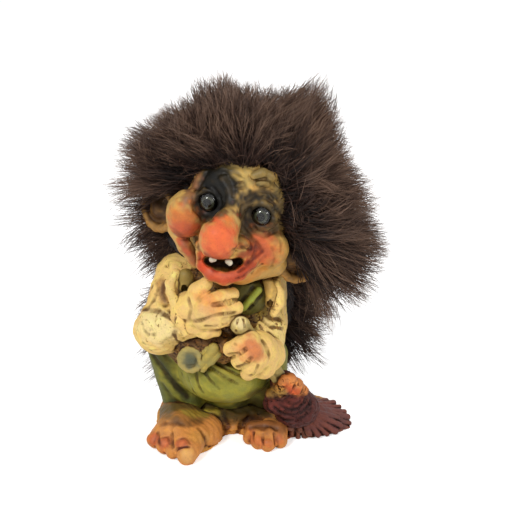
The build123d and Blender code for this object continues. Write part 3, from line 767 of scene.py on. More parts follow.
def shape_right_hand():
    """Right hand laid flat over the chest."""
    clay = Clay(grain=0.14)
    back_of_hand = spot(199, 312, -24.5)
    wrist, knuckles = spot(188, 306, -22), spot(201, 308, -25)
    # The thumb and four fingers, each by the pixels and depths along it, its radii and its softness
    fingers = (
        ([(199, 303), (198, 292), (206, 284)], [-25.5, -26.0, -26.5], (4.0, 3.2, 2.4), 1.4),
        ([(207, 303), (220, 298), (233, 294)], [-28.0, -27.5, -25.5], (3.4, 2.7, 2.2), 0.9),
        ([(205, 311), (222, 310), (236, 308)], [-29.0, -29.0, -27.5], (3.8, 3.0, 2.5), 0.7),
        ([(202, 319), (218, 320), (232, 318)], [-28.8, -28.8, -27.5], (3.7, 3.0, 2.4), 0.7),
        ([(193, 325), (206, 331), (216, 331)], [-27.0, -27.5, -27.0], (3.2, 2.6, 1.9), 0.9),
    )
    clay.egg(back_of_hand, (10.2, 5.6, 7.0), 1.5)
    clay.limb(wrist, knuckles, 5.0, 5.4, 2.0)
    for pixels, depths, radii, softness in fingers:
        clay.rope(shown(pixels, depths), radii, softness)
    finger_lines = (
        ([(213, 305), (222, 304), (235, 301)], 0.6, -1.3),
        ([(184, 321), (198, 321), (211, 317), (222, 314), (235, 313)], 0.6, -1.0),
        ([(189, 299), (191, 309), (189, 319)], 0.6, -0.5),
        ([(218, 326), (227, 324)], 0.4, -0.4),
        ([(225, 304), (226, 300)], 0.4, -0.4),
        ([(206, 326), (214, 327), (222, 325)], 0.5, -0.8),
    )
    clay.draw(finger_lines)
    return clay


def shape_left_hand():
    """Left fist, closed round the broom stick."""
    clay = Clay(grain=0.16)
    back_of_hand = spot(256, 351, -26)
    wrist, knuckles = spot(268, 354, -22), spot(259, 352, -26)
    # Three closed fingers, each by the pixels and depths along it, its radii and its softness
    fingers = (
        ([(250, 341), (240, 346), (230, 349)], [-30.5, -31.0, -29.5], (3.6, 3.1, 2.5), 0.8),
        ([(254, 350), (247, 356), (239, 362)], [-32.0, -32.0, -30.5], (3.6, 3.1, 2.6), 0.7),
        ([(259, 358), (252, 366), (248, 373)], [-31.0, -31.0, -29.5], (3.5, 3.1, 2.6), 0.7),
    )
    heel_of_hand = spot(263, 366, -27)
    clay.egg(back_of_hand, (7.2, 6.0, 7.2), 1.5)
    clay.limb(wrist, knuckles, 6.2, 6.2, 2.0)
    for pixels, depths, radii, softness in fingers:
        clay.rope(shown(pixels, depths), radii, softness)
    clay.egg(heel_of_hand, (4.6, 4.5, 4.4), 1.6)
    finger_lines = (
        ([(229, 355), (238, 354), (246, 349)], 0.6, -1.3),
        ([(238, 367), (245, 365), (251, 358)], 0.6, -1.3),
        ([(250, 376), (256, 372), (258, 365)], 0.5, -0.8),
        ([(262, 341), (268, 348), (269, 358)], 0.6, -0.5),
        ([(233, 342), (236, 345)], 0.4, -0.3),
    )
    clay.draw(finger_lines)
    return clay


def shape_waistband():
    """Crumpled roll of cloth along the waist."""
    clay = Clay(grain=0.4, crags=0.9)
    upper_roll = shown(
        [(180, 340), (192, 343), (208, 344), (224, 345), (232, 352)], [-18, -20, -21.5, -22, -20]
    )
    lower_roll = shown([(182, 350), (196, 348), (212, 352), (226, 358)], [-19, -22, -23, -23])
    clay.rope(upper_roll, (3.4, 4.0, 4.2, 4.0, 3.0), 1.5)
    clay.rope(lower_roll, (2.4, 2.6, 2.6, 2.2), 1.0)
    return clay


def shape_bib():
    """Bib of the dungarees with a broad seam across it."""
    clay = Clay(grain=0.16)
    middle = spot(247, 297, -16.5)
    seam = shown([(243, 308), (251, 299), (259, 290)], [-20.3, -20.2, -19.2])
    clay.egg(middle, (7.0, 4.0, 6.6), 1.5)
    clay.rope(seam, (1.3, 1.5, 1.2), 0.7)
    seam_lines = (
        ([(240, 303), (247, 295), (253, 287)], 0.6, -0.7),
        ([(249, 309), (257, 300), (263, 293)], 0.6, -0.7),
    )
    clay.draw(seam_lines)
    return clay


def shape_right_brace():
    """Knob of cloth where the brace crosses the shoulder."""
    clay = Clay(grain=0.2)
    knob, knob_foot = spot(186, 280, -19.5), spot(184.5, 287, -20.5)
    clay.egg(knob, (2.9, 2.6, 4.2), 0.8)
    clay.ball(knob_foot, 2.1, 0.8)
    return clay


def shape_left_brace():
    """Brace over the left shoulder."""
    clay = Clay(grain=0.2)
    strap = shown([(268, 281), (271, 292), (270, 303)], [-16.5, -18.5, -19.5])
    clay.rope(strap, (1.7, 2.0, 1.6), 0.8)
    return clay


def shape_button():
    """Ring button with a sunk middle."""
    clay = Clay(grain=0.12)
    centre = BUTTON_CENTRE
    clay.egg(centre - BUTTON_FACING * 0.6, (4.3, 1.3, 4.3), 0.8)
    side = np.cross(BUTTON_FACING, np.array((0.0, 0.0, 1.0)))
    side = side / np.linalg.norm(side)
    top = np.cross(side, BUTTON_FACING)
    ring = [centre + (side * math.cos(a) + top * math.sin(a)) * 3.7 for a in np.linspace(0, 2 * math.pi, 15)]
    clay.rope(ring, [1.15, 1.0, 1.1, 1.25, 1.1, 1.0, 1.15, 1.25, 1.1, 1.0, 1.2, 1.1, 1.0, 1.1, 1.15], 0.6)
    return clay


def shape_loop():
    """Two strands of the loop that the button holds, and a stub beside them."""
    clay = Clay(grain=0.18)
    upper_strand = shown([(201, 364), (208, 357), (214, 348)], [-25.0, -25.8, -26.2])
    lower_strand = shown([(203, 369), (211, 361), (218, 354)], [-24.8, -25.8, -25.8])
    stub = shown([(203, 352), (208, 348)], [-24.5, -25.2])
    clay.rope(upper_strand, (1.7, 1.7, 2.0), 0.7)
    clay.rope(lower_strand, (1.2, 1.5, 1.3), 0.5)
    clay.rope(stub, (1.3, 1.2), 0.5)
    return clay


def shape_handle():
    """Broom stick, which comes out above and below the fist."""
    clay = Clay(grain=0.14)
    top, foot = spot(241, 325.5, -28.6), spot(282, 382, -19)
    cut_end = spot(240, 325, -29.6)
    grain_lines = (
        [(238, 319), (236, 332)], [(243, 319), (245, 330)], [(268, 378), (276, 387)],
        [(273, 373), (282, 381)],
    )
    clay.limb(top, foot, 2.9, 2.7)
    clay.egg(cut_end, (3.3, 2.2, 3.1), 0.8)
    for pixels in grain_lines:
        clay.mark(pixels, 0.4, -0.5)
    return clay


def shape_binding():
    """Knotted neck of the broom and the folded crown where the twigs are gathered."""
    clay = Clay(grain=0.26, crags=0.2)
    neck_start, neck_end = spot(283, 383, -18.5), spot(292, 398, -14.5)
    heel = spot(277, 402, -17)
    # Knots of the neck, each by its pixel, depth and radius
    knots = (
        (284, 381, -22.5, 2.4), (291, 379, -21.5, 2.2), (297, 384, -20.5, 2.3), (279, 389, -22.3, 2.0),
        (287, 388, -22.8, 2.2), (295, 391, -22, 2.0), (272, 394, -20.5, 2.2), (281, 396, -21.6, 1.9),
        (302, 391, -19.0, 2.2),
    )
    clay.limb(neck_start, neck_end, 4.6, 6.6, 2.0)
    clay.egg(CROWN, (8.4, 6.8, 7.0), 1.5)
    clay.egg(heel, (5.0, 4.6, 4.4), 1.8)
    for across, down, depth, radius in knots:
        clay.ball(spot(across, down, depth), radius, 0.9)
    # Folds that sweep under a hollow and open to the upper right
    hollow = spot(293, 399.5, -22.8)
    folds = (
        [(266, 400), (270, 411), (279, 418), (291, 421), (303, 418), (311, 409)],
        [(270, 398), (275, 408), (284, 414.5), (296, 415), (306, 409), (311, 400)],
        [(276, 397), (281, 405), (288, 410), (298, 409), (305, 401)],
        [(283, 396), (287, 402), (293, 405), (300, 402), (303, 395)],
    )
    clay.ball(hollow, 1.9, 1.0, hollow=True)
    for pixels in folds:
        clay.mark(pixels, 0.6, -0.75)
    return clay


def shape_twigs():
    """Fan of twigs, each a rib that runs out from the crown."""
    clay = Clay(grain=0.1, stands=True)
    for index, (across, down, depth) in enumerate(TWIG_TIPS):
        tip = spot(across, down, depth)
        outward = tip - CROWN
        root = CROWN + outward / np.linalg.norm(outward) * 5.0
        clay.limb(root, tip, 1.25, 0.95 + 0.14 * (index % 3), 0.25)
    # The mass of twigs behind the ones that show
    mass_root, mass_tip = CROWN + np.array((3, 4, -4)), spot(334, 424, 1)
    clay.limb(mass_root, mass_tip, 4.4, 3.2, 0.4)
    return clay


def shape_tooth(side):
    """A worn, uneven peg of a tooth."""
    clay = Clay(grain=0.12)
    centre = spot(213.2, 259.2, -28.0) if side < 0 else spot(228.6, 262.0, -28.9)
    clay.egg(centre, (1.3, 0.9, 0.95), 0.4, head_axes())
    clay.egg(centre + HEAD_RIGHT * 0.5 * side - HEAD_UP * 0.35, (0.85, 0.8, 0.95), 0.4, head_axes())
    return clay


def shape_pelt():
    """Mass of underfur that the long pile grows from; its near-black colour is painted shade deep in the
    pile.
    """
    clay = Clay(grain=0.9, crags=0.5)
    clay.egg(HEAD_CENTRE + np.array((0, 9, 1)), (31, 22, 30), 4.0)
    clay.limb(np.array((-20.0, 9, 74)), np.array((-27.0, 9, 62)), 8.5, 4.0, 5.0)
    clay.limb(np.array((21.0, 9, 72)), np.array((32.0, 8, 58)), 9.0, 4.0, 5.0)
    for side in (-1, 1):
        clay.limb(np.array((side * 9.0, 16, 66)), np.array((side * 9.0, 18, 42)), 12.0, 12.0, 5.0)
        clay.limb(np.array((side * 8.0, 20, 40)), np.array((side * 15.0, 20, 18)), 9.5, 4.0, 5.0)
    clay.limb(np.array((0.0, 19, 42)), np.array((0.0, 21, 21)), 11.0, 6.0, 5.0)
    # Open in front of the face, the throat and the right ear
    clay.egg(on_head(0, 15, -3), (17.5, 16, 21), 2.0, head_axes(), hollow=True)
    clay.ball(EAR_CENTRES[-1] + FACE_FORWARD * 5, 11.5, 2.0, hollow=True)
    clay.ball(np.array((2.0, -20.0, 60.0)), 14.0, 2.0, hollow=True)
    return clay


SHAPES = {
    "head": shape_head,
    "right_ear": lambda: shape_ears(-1),
    "left_ear": lambda: shape_ears(1),
    "plinth": shape_ground,
    "right_foot": shape_right_foot,
    "left_foot": shape_left_foot,
    "trousers": shape_trousers,
    "shirt": shape_shirt,
    "right_sleeve": shape_right_sleeve,
    "left_sleeve": shape_left_sleeve,
    "right_hand": shape_right_hand,
    "left_hand": shape_left_hand,
    "waistband": shape_waistband,
    "bib": shape_bib,
    "right_brace": shape_right_brace,
    "left_brace": shape_left_brace,
    "brace_button": shape_button,
    "button_loop": shape_loop,
    "broom_handle": shape_handle,
    "broom_binding": shape_binding,
    "broom_twigs": shape_twigs,
    "right_tooth": lambda: shape_tooth(-1),
    "left_tooth": lambda: shape_tooth(1),
    "wig_pile": shape_pelt,
}


@functools.cache
def clay_of(name):
    """The clay of a piece, shaped once."""
    return SHAPES[name]()


def paint_head(settings):
    """Ochre skin, black round the eyes, and a flush on nose, lips and cheeks."""
    olive = "#7B6A3C"
    umber = "#4A3D2A"
    eye_black = "#0D0D0A"
    lip_red = "#B4452A"
    orange = "#C47A3D"
    maroon = "#6A2616"
    nose = settings.nose_colour
    rosy = settings.flush_colour
    paint = Paint("head", settings.skin_colour)
    hairline_tones_and_shadow = (
        ([(176, 200), (190, 201)], 4.6, "#C0A05E", 0.7),
        # Painted shadow of the wig's edge along the top of the hairline
        ([(226, 170), (246, 172), (262, 176)], 3.4, "#8A7A4E", 0.75),
        ([(232, 178), (244, 180), (241, 190)], 3.0, "#B59C5E", 0.75),
        # Painted shadow of the wig's edge down the hairline on the figure's left
        ([(262, 176), (278, 186), (284, 200)], 3.2, "#7E6B3E", 0.8),
        ([(238, 190), (236, 204)], 2.2, "#A8884E", 0.8),
        ([(281, 236), (284, 252)], 3.5, "#B99552", 0.6),
    )
    paint.brush(hairline_tones_and_shadow)
    # Olive and umber shade into black round the eyes
    left_eye = EYE_CENTRES[1] + FACE_FORWARD * 2
    right_eye = EYE_CENTRES[-1] + FACE_FORWARD * 2
    paint.patch(left_eye - HEAD_UP, 9.2, olive, 0.8)
    paint.patch(left_eye - HEAD_RIGHT, 7.8, umber, 0.9)
    left_lid_shades = (
        ([(245, 198), (243, 214), (249, 230)], 2.8, umber, 0.85),
        ([(280, 206), (283, 222), (272, 234)], 3.0, umber, 0.75),
    )
    paint.brush(left_lid_shades)
    paint.patch(right_eye, 8.0, umber, 0.85)
    paint.patch(right_eye + HEAD_RIGHT, 7.0, eye_black, 0.97)
    right_lid_shades = (
        ([(208, 174), (222, 173), (230, 186), (226, 204)], 4.2, eye_black, 0.97),
        ([(210, 180), (217, 190), (219, 206)], 4.0, eye_black, 0.95),
        ([(199, 186), (198, 204), (205, 216)], 2.6, eye_black, 0.85),
        ([(212, 220), (222, 214)], 2.0, eye_black, 0.85),
    )
    paint.brush(right_lid_shades)
    paint.patch(left_eye, 5.1, eye_black, 0.95)
    brow_shades = (
        ([(252, 196), (264, 191), (274, 197)], 1.8, eye_black, 0.7),
        ([(188, 200), (192, 188), (198, 177)], 2.2, "#7E5840", 0.9),
    )
    paint.brush(brow_shades)
    # Flush, lips, painted shade in the mouth's opening and a painted highlight on the lower lip
    flush_lips_shade_and_highlight = (
        ([(218, 243), (219, 238)], 7.4, nose, 0.97),
        ([(225, 229), (221, 233)], 3.8, nose, 0.9),
        ([(231, 220), (228, 224)], 1.8, orange, 0.6),
        ([(210, 256), (226, 257)], 2.6, "#B84A2C", 0.7),
        ([(181, 224), (187, 231)], 5.2, rosy, 0.95),
        ([(174, 213), (190, 214)], 3.4, orange, 0.6),
        ([(262, 247), (268, 254)], 5.8, orange, 0.85),
        ([(260, 246), (263, 253)], 4.2, rosy, 0.8),
        ([(177, 234), (186, 247), (194, 260)], 2.2, "#8E4530", 0.8),
        ([(178, 240), (188, 254)], 1.0, rosy, 0.7),
        ([(203, 266), (212, 275), (225, 279), (239, 275), (250, 266)], 2.9, lip_red, 0.97),
        # Painted highlight along the lower lip
        ([(208, 271), (222, 276.5), (236, 273)], 1.2, "#D0664A", 0.65),
        ([(201, 255), (203, 266)], 1.8, lip_red, 0.85),
        ([(250, 262), (258, 252)], 1.8, "#A84A2A", 0.85),
        ([(206, 255), (218, 259), (230, 259.5), (243, 255.5), (255, 249)], 1.5, "#96452C", 0.9),
        ([(264, 268), (252, 278), (236, 283)], 2.0, "#C9853F", 0.8),
        ([(245, 264), (255, 258), (262, 252)], 0.7, maroon, 0.9),
        ([(236, 248), (246, 246), (252, 248)], 0.9, maroon, 0.7),
        ([(240, 241)], 1.8, "#C09450", 0.75),
        ([(240, 246)], 1.6, "#A4532F", 0.7),
        # Near-black in the mouth's opening: painted shade
        ([(208, 261), (218, 264), (228, 265), (238, 262)], 2.0, "#220A06", 0.97),
        ([(214, 270), (226, 272), (236, 268)], 1.0, "#75261A", 0.8),
    )
    paint.brush(flush_lips_shade_and_highlight)
    return paint


def painted_shade_and_highlight_of(points, normals, own, near):
    """How deep in a crease and how proud on a ridge each point lies, from nought to one. The creases get
    brown washes and painted shade, also where neighbouring pieces close in, and the ridges get pale paint and
    a painted highlight.
    """
    crease = np.zeros(len(points))
    ridge = np.zeros(len(points))
    for reach in (0.5, 1.2, 2.4):
        out = points + normals * reach
        free = own.field(out)
        # Neighbouring pieces close the creases in, so the painted shade also falls between parts
        for other in near:
            free = np.minimum(free, clay_of(other).body(out))
        crease += np.clip(1 - free / reach, 0, 1.6) / 3
    for reach in (0.4, 1.0):
        ridge += np.clip(1 + own.field(points - normals * reach) / reach, 0, 1)
    relief = own.relief(points)
    crease += np.clip(-relief / 1.2, 0, 0.5)
    ridge += np.clip(relief / 0.9, 0, 0.5)
    return np.clip(crease, 0, 1), np.clip(ridge, 0, 1)


def mesh_piece(name, points, faces, material):
    """A mesh object from points in millimetres, which rides on the figure's one body."""
    mesh = bpy.data.meshes.new(name)
    mesh.from_pydata((points * MM).tolist(), [], faces.tolist())
    mesh.update()
    mesh.shade_smooth()
    mesh.materials.append(material)
    piece = bpy.data.objects.new(name, mesh)
    bpy.context.scene.collection.objects.link(piece)
    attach(piece, "root")
    return piece


def write_colours(mesh, name, colours):
    """Stores a colour for each point of a mesh."""
    layer = mesh.color_attributes.new(name=name, type="FLOAT_COLOR", domain="POINT")
    full = np.ones((len(colours), 4), dtype=np.float32)
    full[:, :3] = colours
    layer.data.foreach_set("color", full.ravel())


def cast(node_name, paint, material, near=(), step=NET_STEP, margin=NET_MARGIN):
    """Turns the clay of a piece into a painted mesh that stands for its solid."""
    clay = clay_of(node_name)
    low, high = (np.array(corner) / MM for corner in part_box(node_name))
    points, faces = net_over(clay.body, low - margin, high + margin, step)
    points, faces = finer(points, faces)
    points = settled(points, clay.field)
    normals = slope(clay.field, points, clay.field(points))
    normals /= np.maximum(np.linalg.norm(normals, axis=1), 1e-6)[:, None]
    piece = mesh_piece(f"{node_name}_cast", points, faces, material)
    # Masks for the painted shade in the creases and the painted highlight on the ridges
    crease, ridge = painted_shade_and_highlight_of(points, normals, clay, near)
    write_colours(piece.data, "paint", paint.colours(points))
    write_colours(piece.data, "painted_shade_and_highlight", np.stack([crease, ridge, np.zeros(len(points))], axis=1))
    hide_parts(node_name)


def finish_solid(name, material):
    """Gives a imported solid, which shows as it is, its material."""
    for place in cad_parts[name].material_slots:
        place.material = material


def new_material(name):
    """An empty material and its node tree."""
    material = bpy.data.materials.new(name)
    material.use_nodes = True
    material.node_tree.nodes.clear()
    return material, material.node_tree


def node(tree, kind, inputs=None, **settings):
    """Adds a shader node with its settings, its values and the sockets that link into it."""
    made = tree.nodes.new(kind)
    for name, value in settings.items():
        setattr(made, name, value)
    for key, value in (inputs or {}).items():
        if isinstance(value, bpy.types.NodeSocket):
            tree.links.new(value, made.inputs[key])
        else:
            made.inputs[key].default_value = value
    return made


def painted_rubber(name, wash_and_shade=1.0, dry_brush_and_highlight=0.55, satin=0.46):
    """Cast latex rubber, painted by hand. The creases are darkened with thin brown, partly the figure's own
    washes and partly painted shade, also where neighbouring pieces close in; the ridges are lightened with
    pale paint, partly dry-brushed and partly a painted highlight; and a satin varnish gives broad soft
    highlights."""
    settings = bpy.context.scene.troll_settings
    material, tree = new_material(name)
    places = node(tree, "ShaderNodeTexCoord").outputs["Object"]
    # Brush marks and the blotches of the brown washes and painted shade are 2 to 3 mm across, and the
    # rubber's grain half a millimetre
    mottle = node(tree, "ShaderNodeTexNoise", {"Vector": places, "Scale": 1 / (2.6 * MM), "Detail": 4.0})
    fine = node(tree, "ShaderNodeTexNoise", {"Vector": places, "Scale": 1 / (0.55 * MM), "Detail": 3.0})
    ground = node(tree, "ShaderNodeAttribute", attribute_name="paint").outputs["Color"]
    painted_shade_and_highlight = node(tree, "ShaderNodeAttribute", attribute_name="painted_shade_and_highlight").outputs["Color"]
    split = node(tree, "ShaderNodeSeparateColor", {"Color": painted_shade_and_highlight})
    sun = node(tree, "ShaderNodeMapRange", {0: mottle.outputs["Fac"], 1: 0.4, 2: 0.68, 3: 0.0, 4: 0.3})
    warmer = node(
        tree, "ShaderNodeMix", {0: sun.outputs[0], 6: ground, 7: linear("#FFE9B0")}, data_type="RGBA",
        blend_type="OVERLAY",
    )
    grime = node(
        tree, "ShaderNodeMapRange", {0: fine.outputs["Fac"], 1: 0.52, 2: 0.72, 3: 0.0, 4: 0.22 * wash_and_shade}
    )
    grimy = node(
        tree, "ShaderNodeMix", {0: grime.outputs[0], 6: warmer.outputs[2], 7: tuple(settings.wash_and_shade_colour)},
        data_type="RGBA", blend_type="MULTIPLY",
    )
    # Darkening in the creases: the brown washes together with painted shade in creases and between
    # neighbouring pieces
    blot = node(tree, "ShaderNodeMapRange", {0: mottle.outputs["Fac"], 1: 0.3, 2: 0.7, 3: -0.16, 4: 0.16})
    pooled_and_shaded = node(tree, "ShaderNodeMath", {0: split.outputs["Red"], 1: blot.outputs[0]}, operation="ADD")
    depth = node(tree, "ShaderNodeMapRange", {0: pooled_and_shaded.outputs[0], 1: 0.16, 2: 0.66, 3: 0.0, 4: 0.9 * wash_and_shade})
    washed_and_shaded = node(
        tree, "ShaderNodeMix", {0: depth.outputs[0], 6: grimy.outputs[2], 7: tuple(settings.wash_and_shade_colour)},
        data_type="RGBA", blend_type="MULTIPLY",
    )
    # Lightening on the ridges: dry-brushed pale paint together with a painted highlight
    skip = node(tree, "ShaderNodeMapRange", {0: fine.outputs["Fac"], 1: 0.35, 2: 0.65, 3: -0.25, 4: 0.2})
    proud = node(tree, "ShaderNodeMath", {0: split.outputs["Green"], 1: skip.outputs[0]}, operation="ADD")
    caught = node(tree, "ShaderNodeMapRange", {0: proud.outputs[0], 1: 0.15, 2: 0.9, 3: 0.0, 4: dry_brush_and_highlight})
    brushed = node(
        tree, "ShaderNodeMix",
        {0: caught.outputs[0], 6: washed_and_shaded.outputs[2], 7: tuple(settings.dry_brush_and_highlight_colour)}, data_type="RGBA",
        blend_type="OVERLAY",
    )
    shine = node(
        tree, "ShaderNodeMapRange",
        {0: mottle.outputs["Fac"], 1: 0.3, 2: 0.7, 3: satin - 0.08, 4: satin + 0.12},
    )
    pits = node(tree, "ShaderNodeMath", {0: fine.outputs["Fac"], 1: mottle.outputs["Fac"]}, operation="ADD")
    bump = node(tree, "ShaderNodeBump", {"Height": pits.outputs[0], "Strength": 0.4, "Distance": 0.2 * MM})
    shader = node(
        tree, "ShaderNodeBsdfPrincipled",
        {
            "Base Color": brushed.outputs[2], "Roughness": shine.outputs[0], "IOR": 1.5,
            "Specular IOR Level": 0.2, "Normal": bump.outputs[0],
        },
    )
    node(tree, "ShaderNodeOutputMaterial", {"Surface": shader.outputs[0]})
    return material


def moulded_eye(name, centre):
    """Moulded black acrylic: a black pupil in a dark grey-green iris with fine streaks. Its cap is bonded
    to it, so it has hardly any gloss of its own."""
    material, tree = new_material(name)
    places = node(tree, "ShaderNodeTexCoord").outputs["Object"]
    offset = node(tree, "ShaderNodeVectorMath", {0: places, 1: tuple(centre * MM)}, operation="SUBTRACT")
    ahead = node(
        tree, "ShaderNodeVectorMath", {0: offset.outputs[0], 1: tuple(FACE_FORWARD)}, operation="DOT_PRODUCT"
    )
    along = node(
        tree, "ShaderNodeVectorMath", {0: tuple(FACE_FORWARD), "Scale": ahead.outputs["Value"]},
        operation="SCALE",
    )
    aside = node(
        tree, "ShaderNodeVectorMath", {0: offset.outputs[0], 1: along.outputs[0]}, operation="SUBTRACT"
    )
    radius = node(tree, "ShaderNodeVectorMath", {0: aside.outputs[0]}, operation="LENGTH")
    streaks = node(tree, "ShaderNodeTexNoise", {"Vector": places, "Scale": 1 / (0.35 * MM), "Detail": 2.0})
    ring = node(
        tree, "ShaderNodeMapRange", {0: radius.outputs["Value"], 1: 1.25 * MM, 2: 1.5 * MM, 3: 0.0, 4: 0.8}
    )
    rim = node(
        tree, "ShaderNodeMapRange", {0: radius.outputs["Value"], 1: 1.85 * MM, 2: 2.15 * MM, 3: 1.0, 4: 0.0}
    )
    iris = node(tree, "ShaderNodeMath", {0: ring.outputs[0], 1: rim.outputs[0]}, operation="MULTIPLY")
    flecked = node(
        tree, "ShaderNodeMath", {0: iris.outputs[0], 1: streaks.outputs["Fac"]}, operation="MULTIPLY"
    )
    colour = node(
        tree, "ShaderNodeMix", {0: flecked.outputs[0], 6: linear("#0C0B0A"), 7: linear("#868C70")},
        data_type="RGBA",
    )
    shine = node(tree, "ShaderNodeMapRange", {0: streaks.outputs["Fac"], 1: 0.3, 2: 0.7, 3: 0.08, 4: 0.16})
    shader = node(
        tree, "ShaderNodeBsdfPrincipled",
        {
            "Base Color": colour.outputs[2], "Roughness": shine.outputs[0], "IOR": 1.49,
            "Specular IOR Level": 0.05,
        },
    )
    node(tree, "ShaderNodeOutputMaterial", {"Surface": shader.outputs[0]})
    return material


def clear_acrylic(name):
    """Moulded acrylic with a faint smoke tint, polished by its mould: small, sharp highlights."""
    material, tree = new_material(name)
    places = node(tree, "ShaderNodeTexCoord").outputs["Object"]
    haze = node(tree, "ShaderNodeTexNoise", {"Vector": places, "Scale": 1 / (1.2 * MM), "Detail": 2.0})
    shine = node(tree, "ShaderNodeMapRange", {0: haze.outputs["Fac"], 1: 0.3, 2: 0.7, 3: 0.01, 4: 0.03})
    shader = node(
        tree, "ShaderNodeBsdfPrincipled",
        {
            "Base Color": linear("#D8D8D0"), "Roughness": shine.outputs[0], "IOR": 1.49,
            "Specular IOR Level": 0.25, "Transmission Weight": 1.0,
        },
    )
    node(tree, "ShaderNodeOutputMaterial", {"Surface": shader.outputs[0]})
    return material


def grained(name, pale, dark, grain_mm, stretch, roughness):
    """Unpainted inner material: its colour, the size and direction of its grain, and its dullness."""
    material, tree = new_material(name)
    places = node(tree, "ShaderNodeTexCoord").outputs["Object"]
    drawn = node(tree, "ShaderNodeVectorMath", {0: places, 1: stretch}, operation="MULTIPLY")
    grain = node(
        tree, "ShaderNodeTexNoise",
        {"Vector": drawn.outputs[0], "Scale": 1 / (grain_mm * MM), "Detail": 4.0},
    )
    share = node(tree, "ShaderNodeMapRange", {0: grain.outputs["Fac"], 1: 0.35, 2: 0.65, 3: 0.0, 4: 1.0})
    colour = node(
        tree, "ShaderNodeMix", {0: share.outputs[0], 6: linear(pale), 7: linear(dark)}, data_type="RGBA"
    )
    bump = node(
        tree, "ShaderNodeBump", {"Height": grain.outputs["Fac"], "Strength": 0.4, "Distance": 0.3 * MM}
    )
    shader = node(
        tree, "ShaderNodeBsdfPrincipled",
        {"Base Color": colour.outputs[2], "Roughness": roughness, "Normal": bump.outputs[0]},
    )
    node(tree, "ShaderNodeOutputMaterial", {"Surface": shader.outputs[0]})
    return material


def modacrylic_pile(name):
    """Long modacrylic pile: darker towards the backing, which is painted shade deep in the pile, and lighter
    at the tips, with a silky gloss along each fibre. A fibre's tone is stored across its UV map, and the way
    from root to tip up it."""
    settings = bpy.context.scene.troll_settings
    material, tree = new_material(name)
    place = node(tree, "ShaderNodeUVMap", uv_map="OFBake")
    parts = node(tree, "ShaderNodeSeparateXYZ", {0: place.outputs[0]})
    lower = node(
        tree, "ShaderNodeMix",
        {0: parts.outputs[0], 6: tuple(settings.fur_dark), 7: tuple(settings.fur_brown)}, data_type="RGBA",
    )
    upper = node(
        tree, "ShaderNodeMix",
        {0: parts.outputs[0], 6: tuple(settings.fur_brown), 7: tuple(settings.fur_tip)}, data_type="RGBA",
    )
    # Darker towards the roots: painted shade deep in the pile
    tipward = node(tree, "ShaderNodeMapRange", {0: parts.outputs[1], 1: 0.4, 2: 1.0, 3: 0.0, 4: 1.0})
    colour = node(
        tree, "ShaderNodeMix", {0: tipward.outputs[0], 6: lower.outputs[2], 7: upper.outputs[2]},
        data_type="RGBA",
    )
    shine = node(tree, "ShaderNodeMapRange", {0: parts.outputs[0], 1: 0.0, 2: 1.0, 3: 0.48, 4: 0.38})
    shader = node(
        tree, "ShaderNodeBsdfPrincipled",
        {
            "Base Color": colour.outputs[2], "Roughness": shine.outputs[0], "IOR": 1.55,
            "Specular IOR Level": 0.2,
        },
    )
    node(tree, "ShaderNodeOutputMaterial", {"Surface": shader.outputs[0]})
    return material


def shaded_underfur(name):
    """Dense woolly underfur below the long pile: matt, with 1 mm tufts, and almost black, which is painted
    shade deep in the pile.
    """
    settings = bpy.context.scene.troll_settings
    material, tree = new_material(name)
    places = node(tree, "ShaderNodeTexCoord").outputs["Object"]
    tufts = node(tree, "ShaderNodeTexNoise", {"Vector": places, "Scale": 1 / (1.0 * MM), "Detail": 5.0})
    share = node(tree, "ShaderNodeMapRange", {0: tufts.outputs["Fac"], 1: 0.45, 2: 0.7, 3: 0.0, 4: 0.5})
    colour = node(
        tree, "ShaderNodeMix", {0: share.outputs[0], 6: linear("#120D0C"), 7: tuple(settings.fur_brown)},
        data_type="RGBA",
    )
    bump = node(
        tree, "ShaderNodeBump", {"Height": tufts.outputs["Fac"], "Strength": 0.8, "Distance": 0.6 * MM}
    )
    shader = node(
        tree, "ShaderNodeBsdfPrincipled",
        {"Base Color": colour.outputs[2], "Roughness": 0.9, "Normal": bump.outputs[0]},
    )
    node(tree, "ShaderNodeOutputMaterial", {"Surface": shader.outputs[0]})
    return material


# How far the pile reaches from a middle, by the angle in degrees from the viewer's right, anticlockwise
HEAD_REACH = (
    (-90, 46.0), (-61, 56.0), (-57, 56.0), (-50, 56.0), (-47, 52.0), (-37, 57.0), (-27, 54.5), (-17, 54.0),
    (0, 47.0), (15, 44.0), (24, 41.0), (34, 43.0), (44, 45.4), (54, 50.0), (60, 54.0), (64, 47.5),
    (70, 43.0), (80, 41.0), (91, 42.5), (97, 45.5), (106, 46.0), (115, 41.5), (127, 42.0), (135, 43.0),
    (144, 46.0), (153, 46.5), (164, 46.0), (175, 48.0), (188, 48.0), (200, 47.0), (211, 48.5), (219, 49.5),
    (229, 50.0), (270, 46.0),
)
MANE_REACH = (
    (-150, 46.0), (-144.5, 52.0), (-138, 56.0), (-133, 58.0), (-127, 57.0), (-90, 44.0), (-67, 44.0),
    (-59, 45.0), (-51, 45.0), (-44, 44.0), (-35, 43.0), (-25, 41.0), (0, 36.0), (90, 20.0), (180, 36.0),
    (210, 46.0),
)
MANE_CENTRE = np.array((0.0, 15.0, 50.0))
# Radii of the eggs that the fibres are rooted on, under the wig and down the back
SKULL = np.array((20.5, 20.5, 21.5))
NAPE = np.array((19.0, 8.0, 22.0))
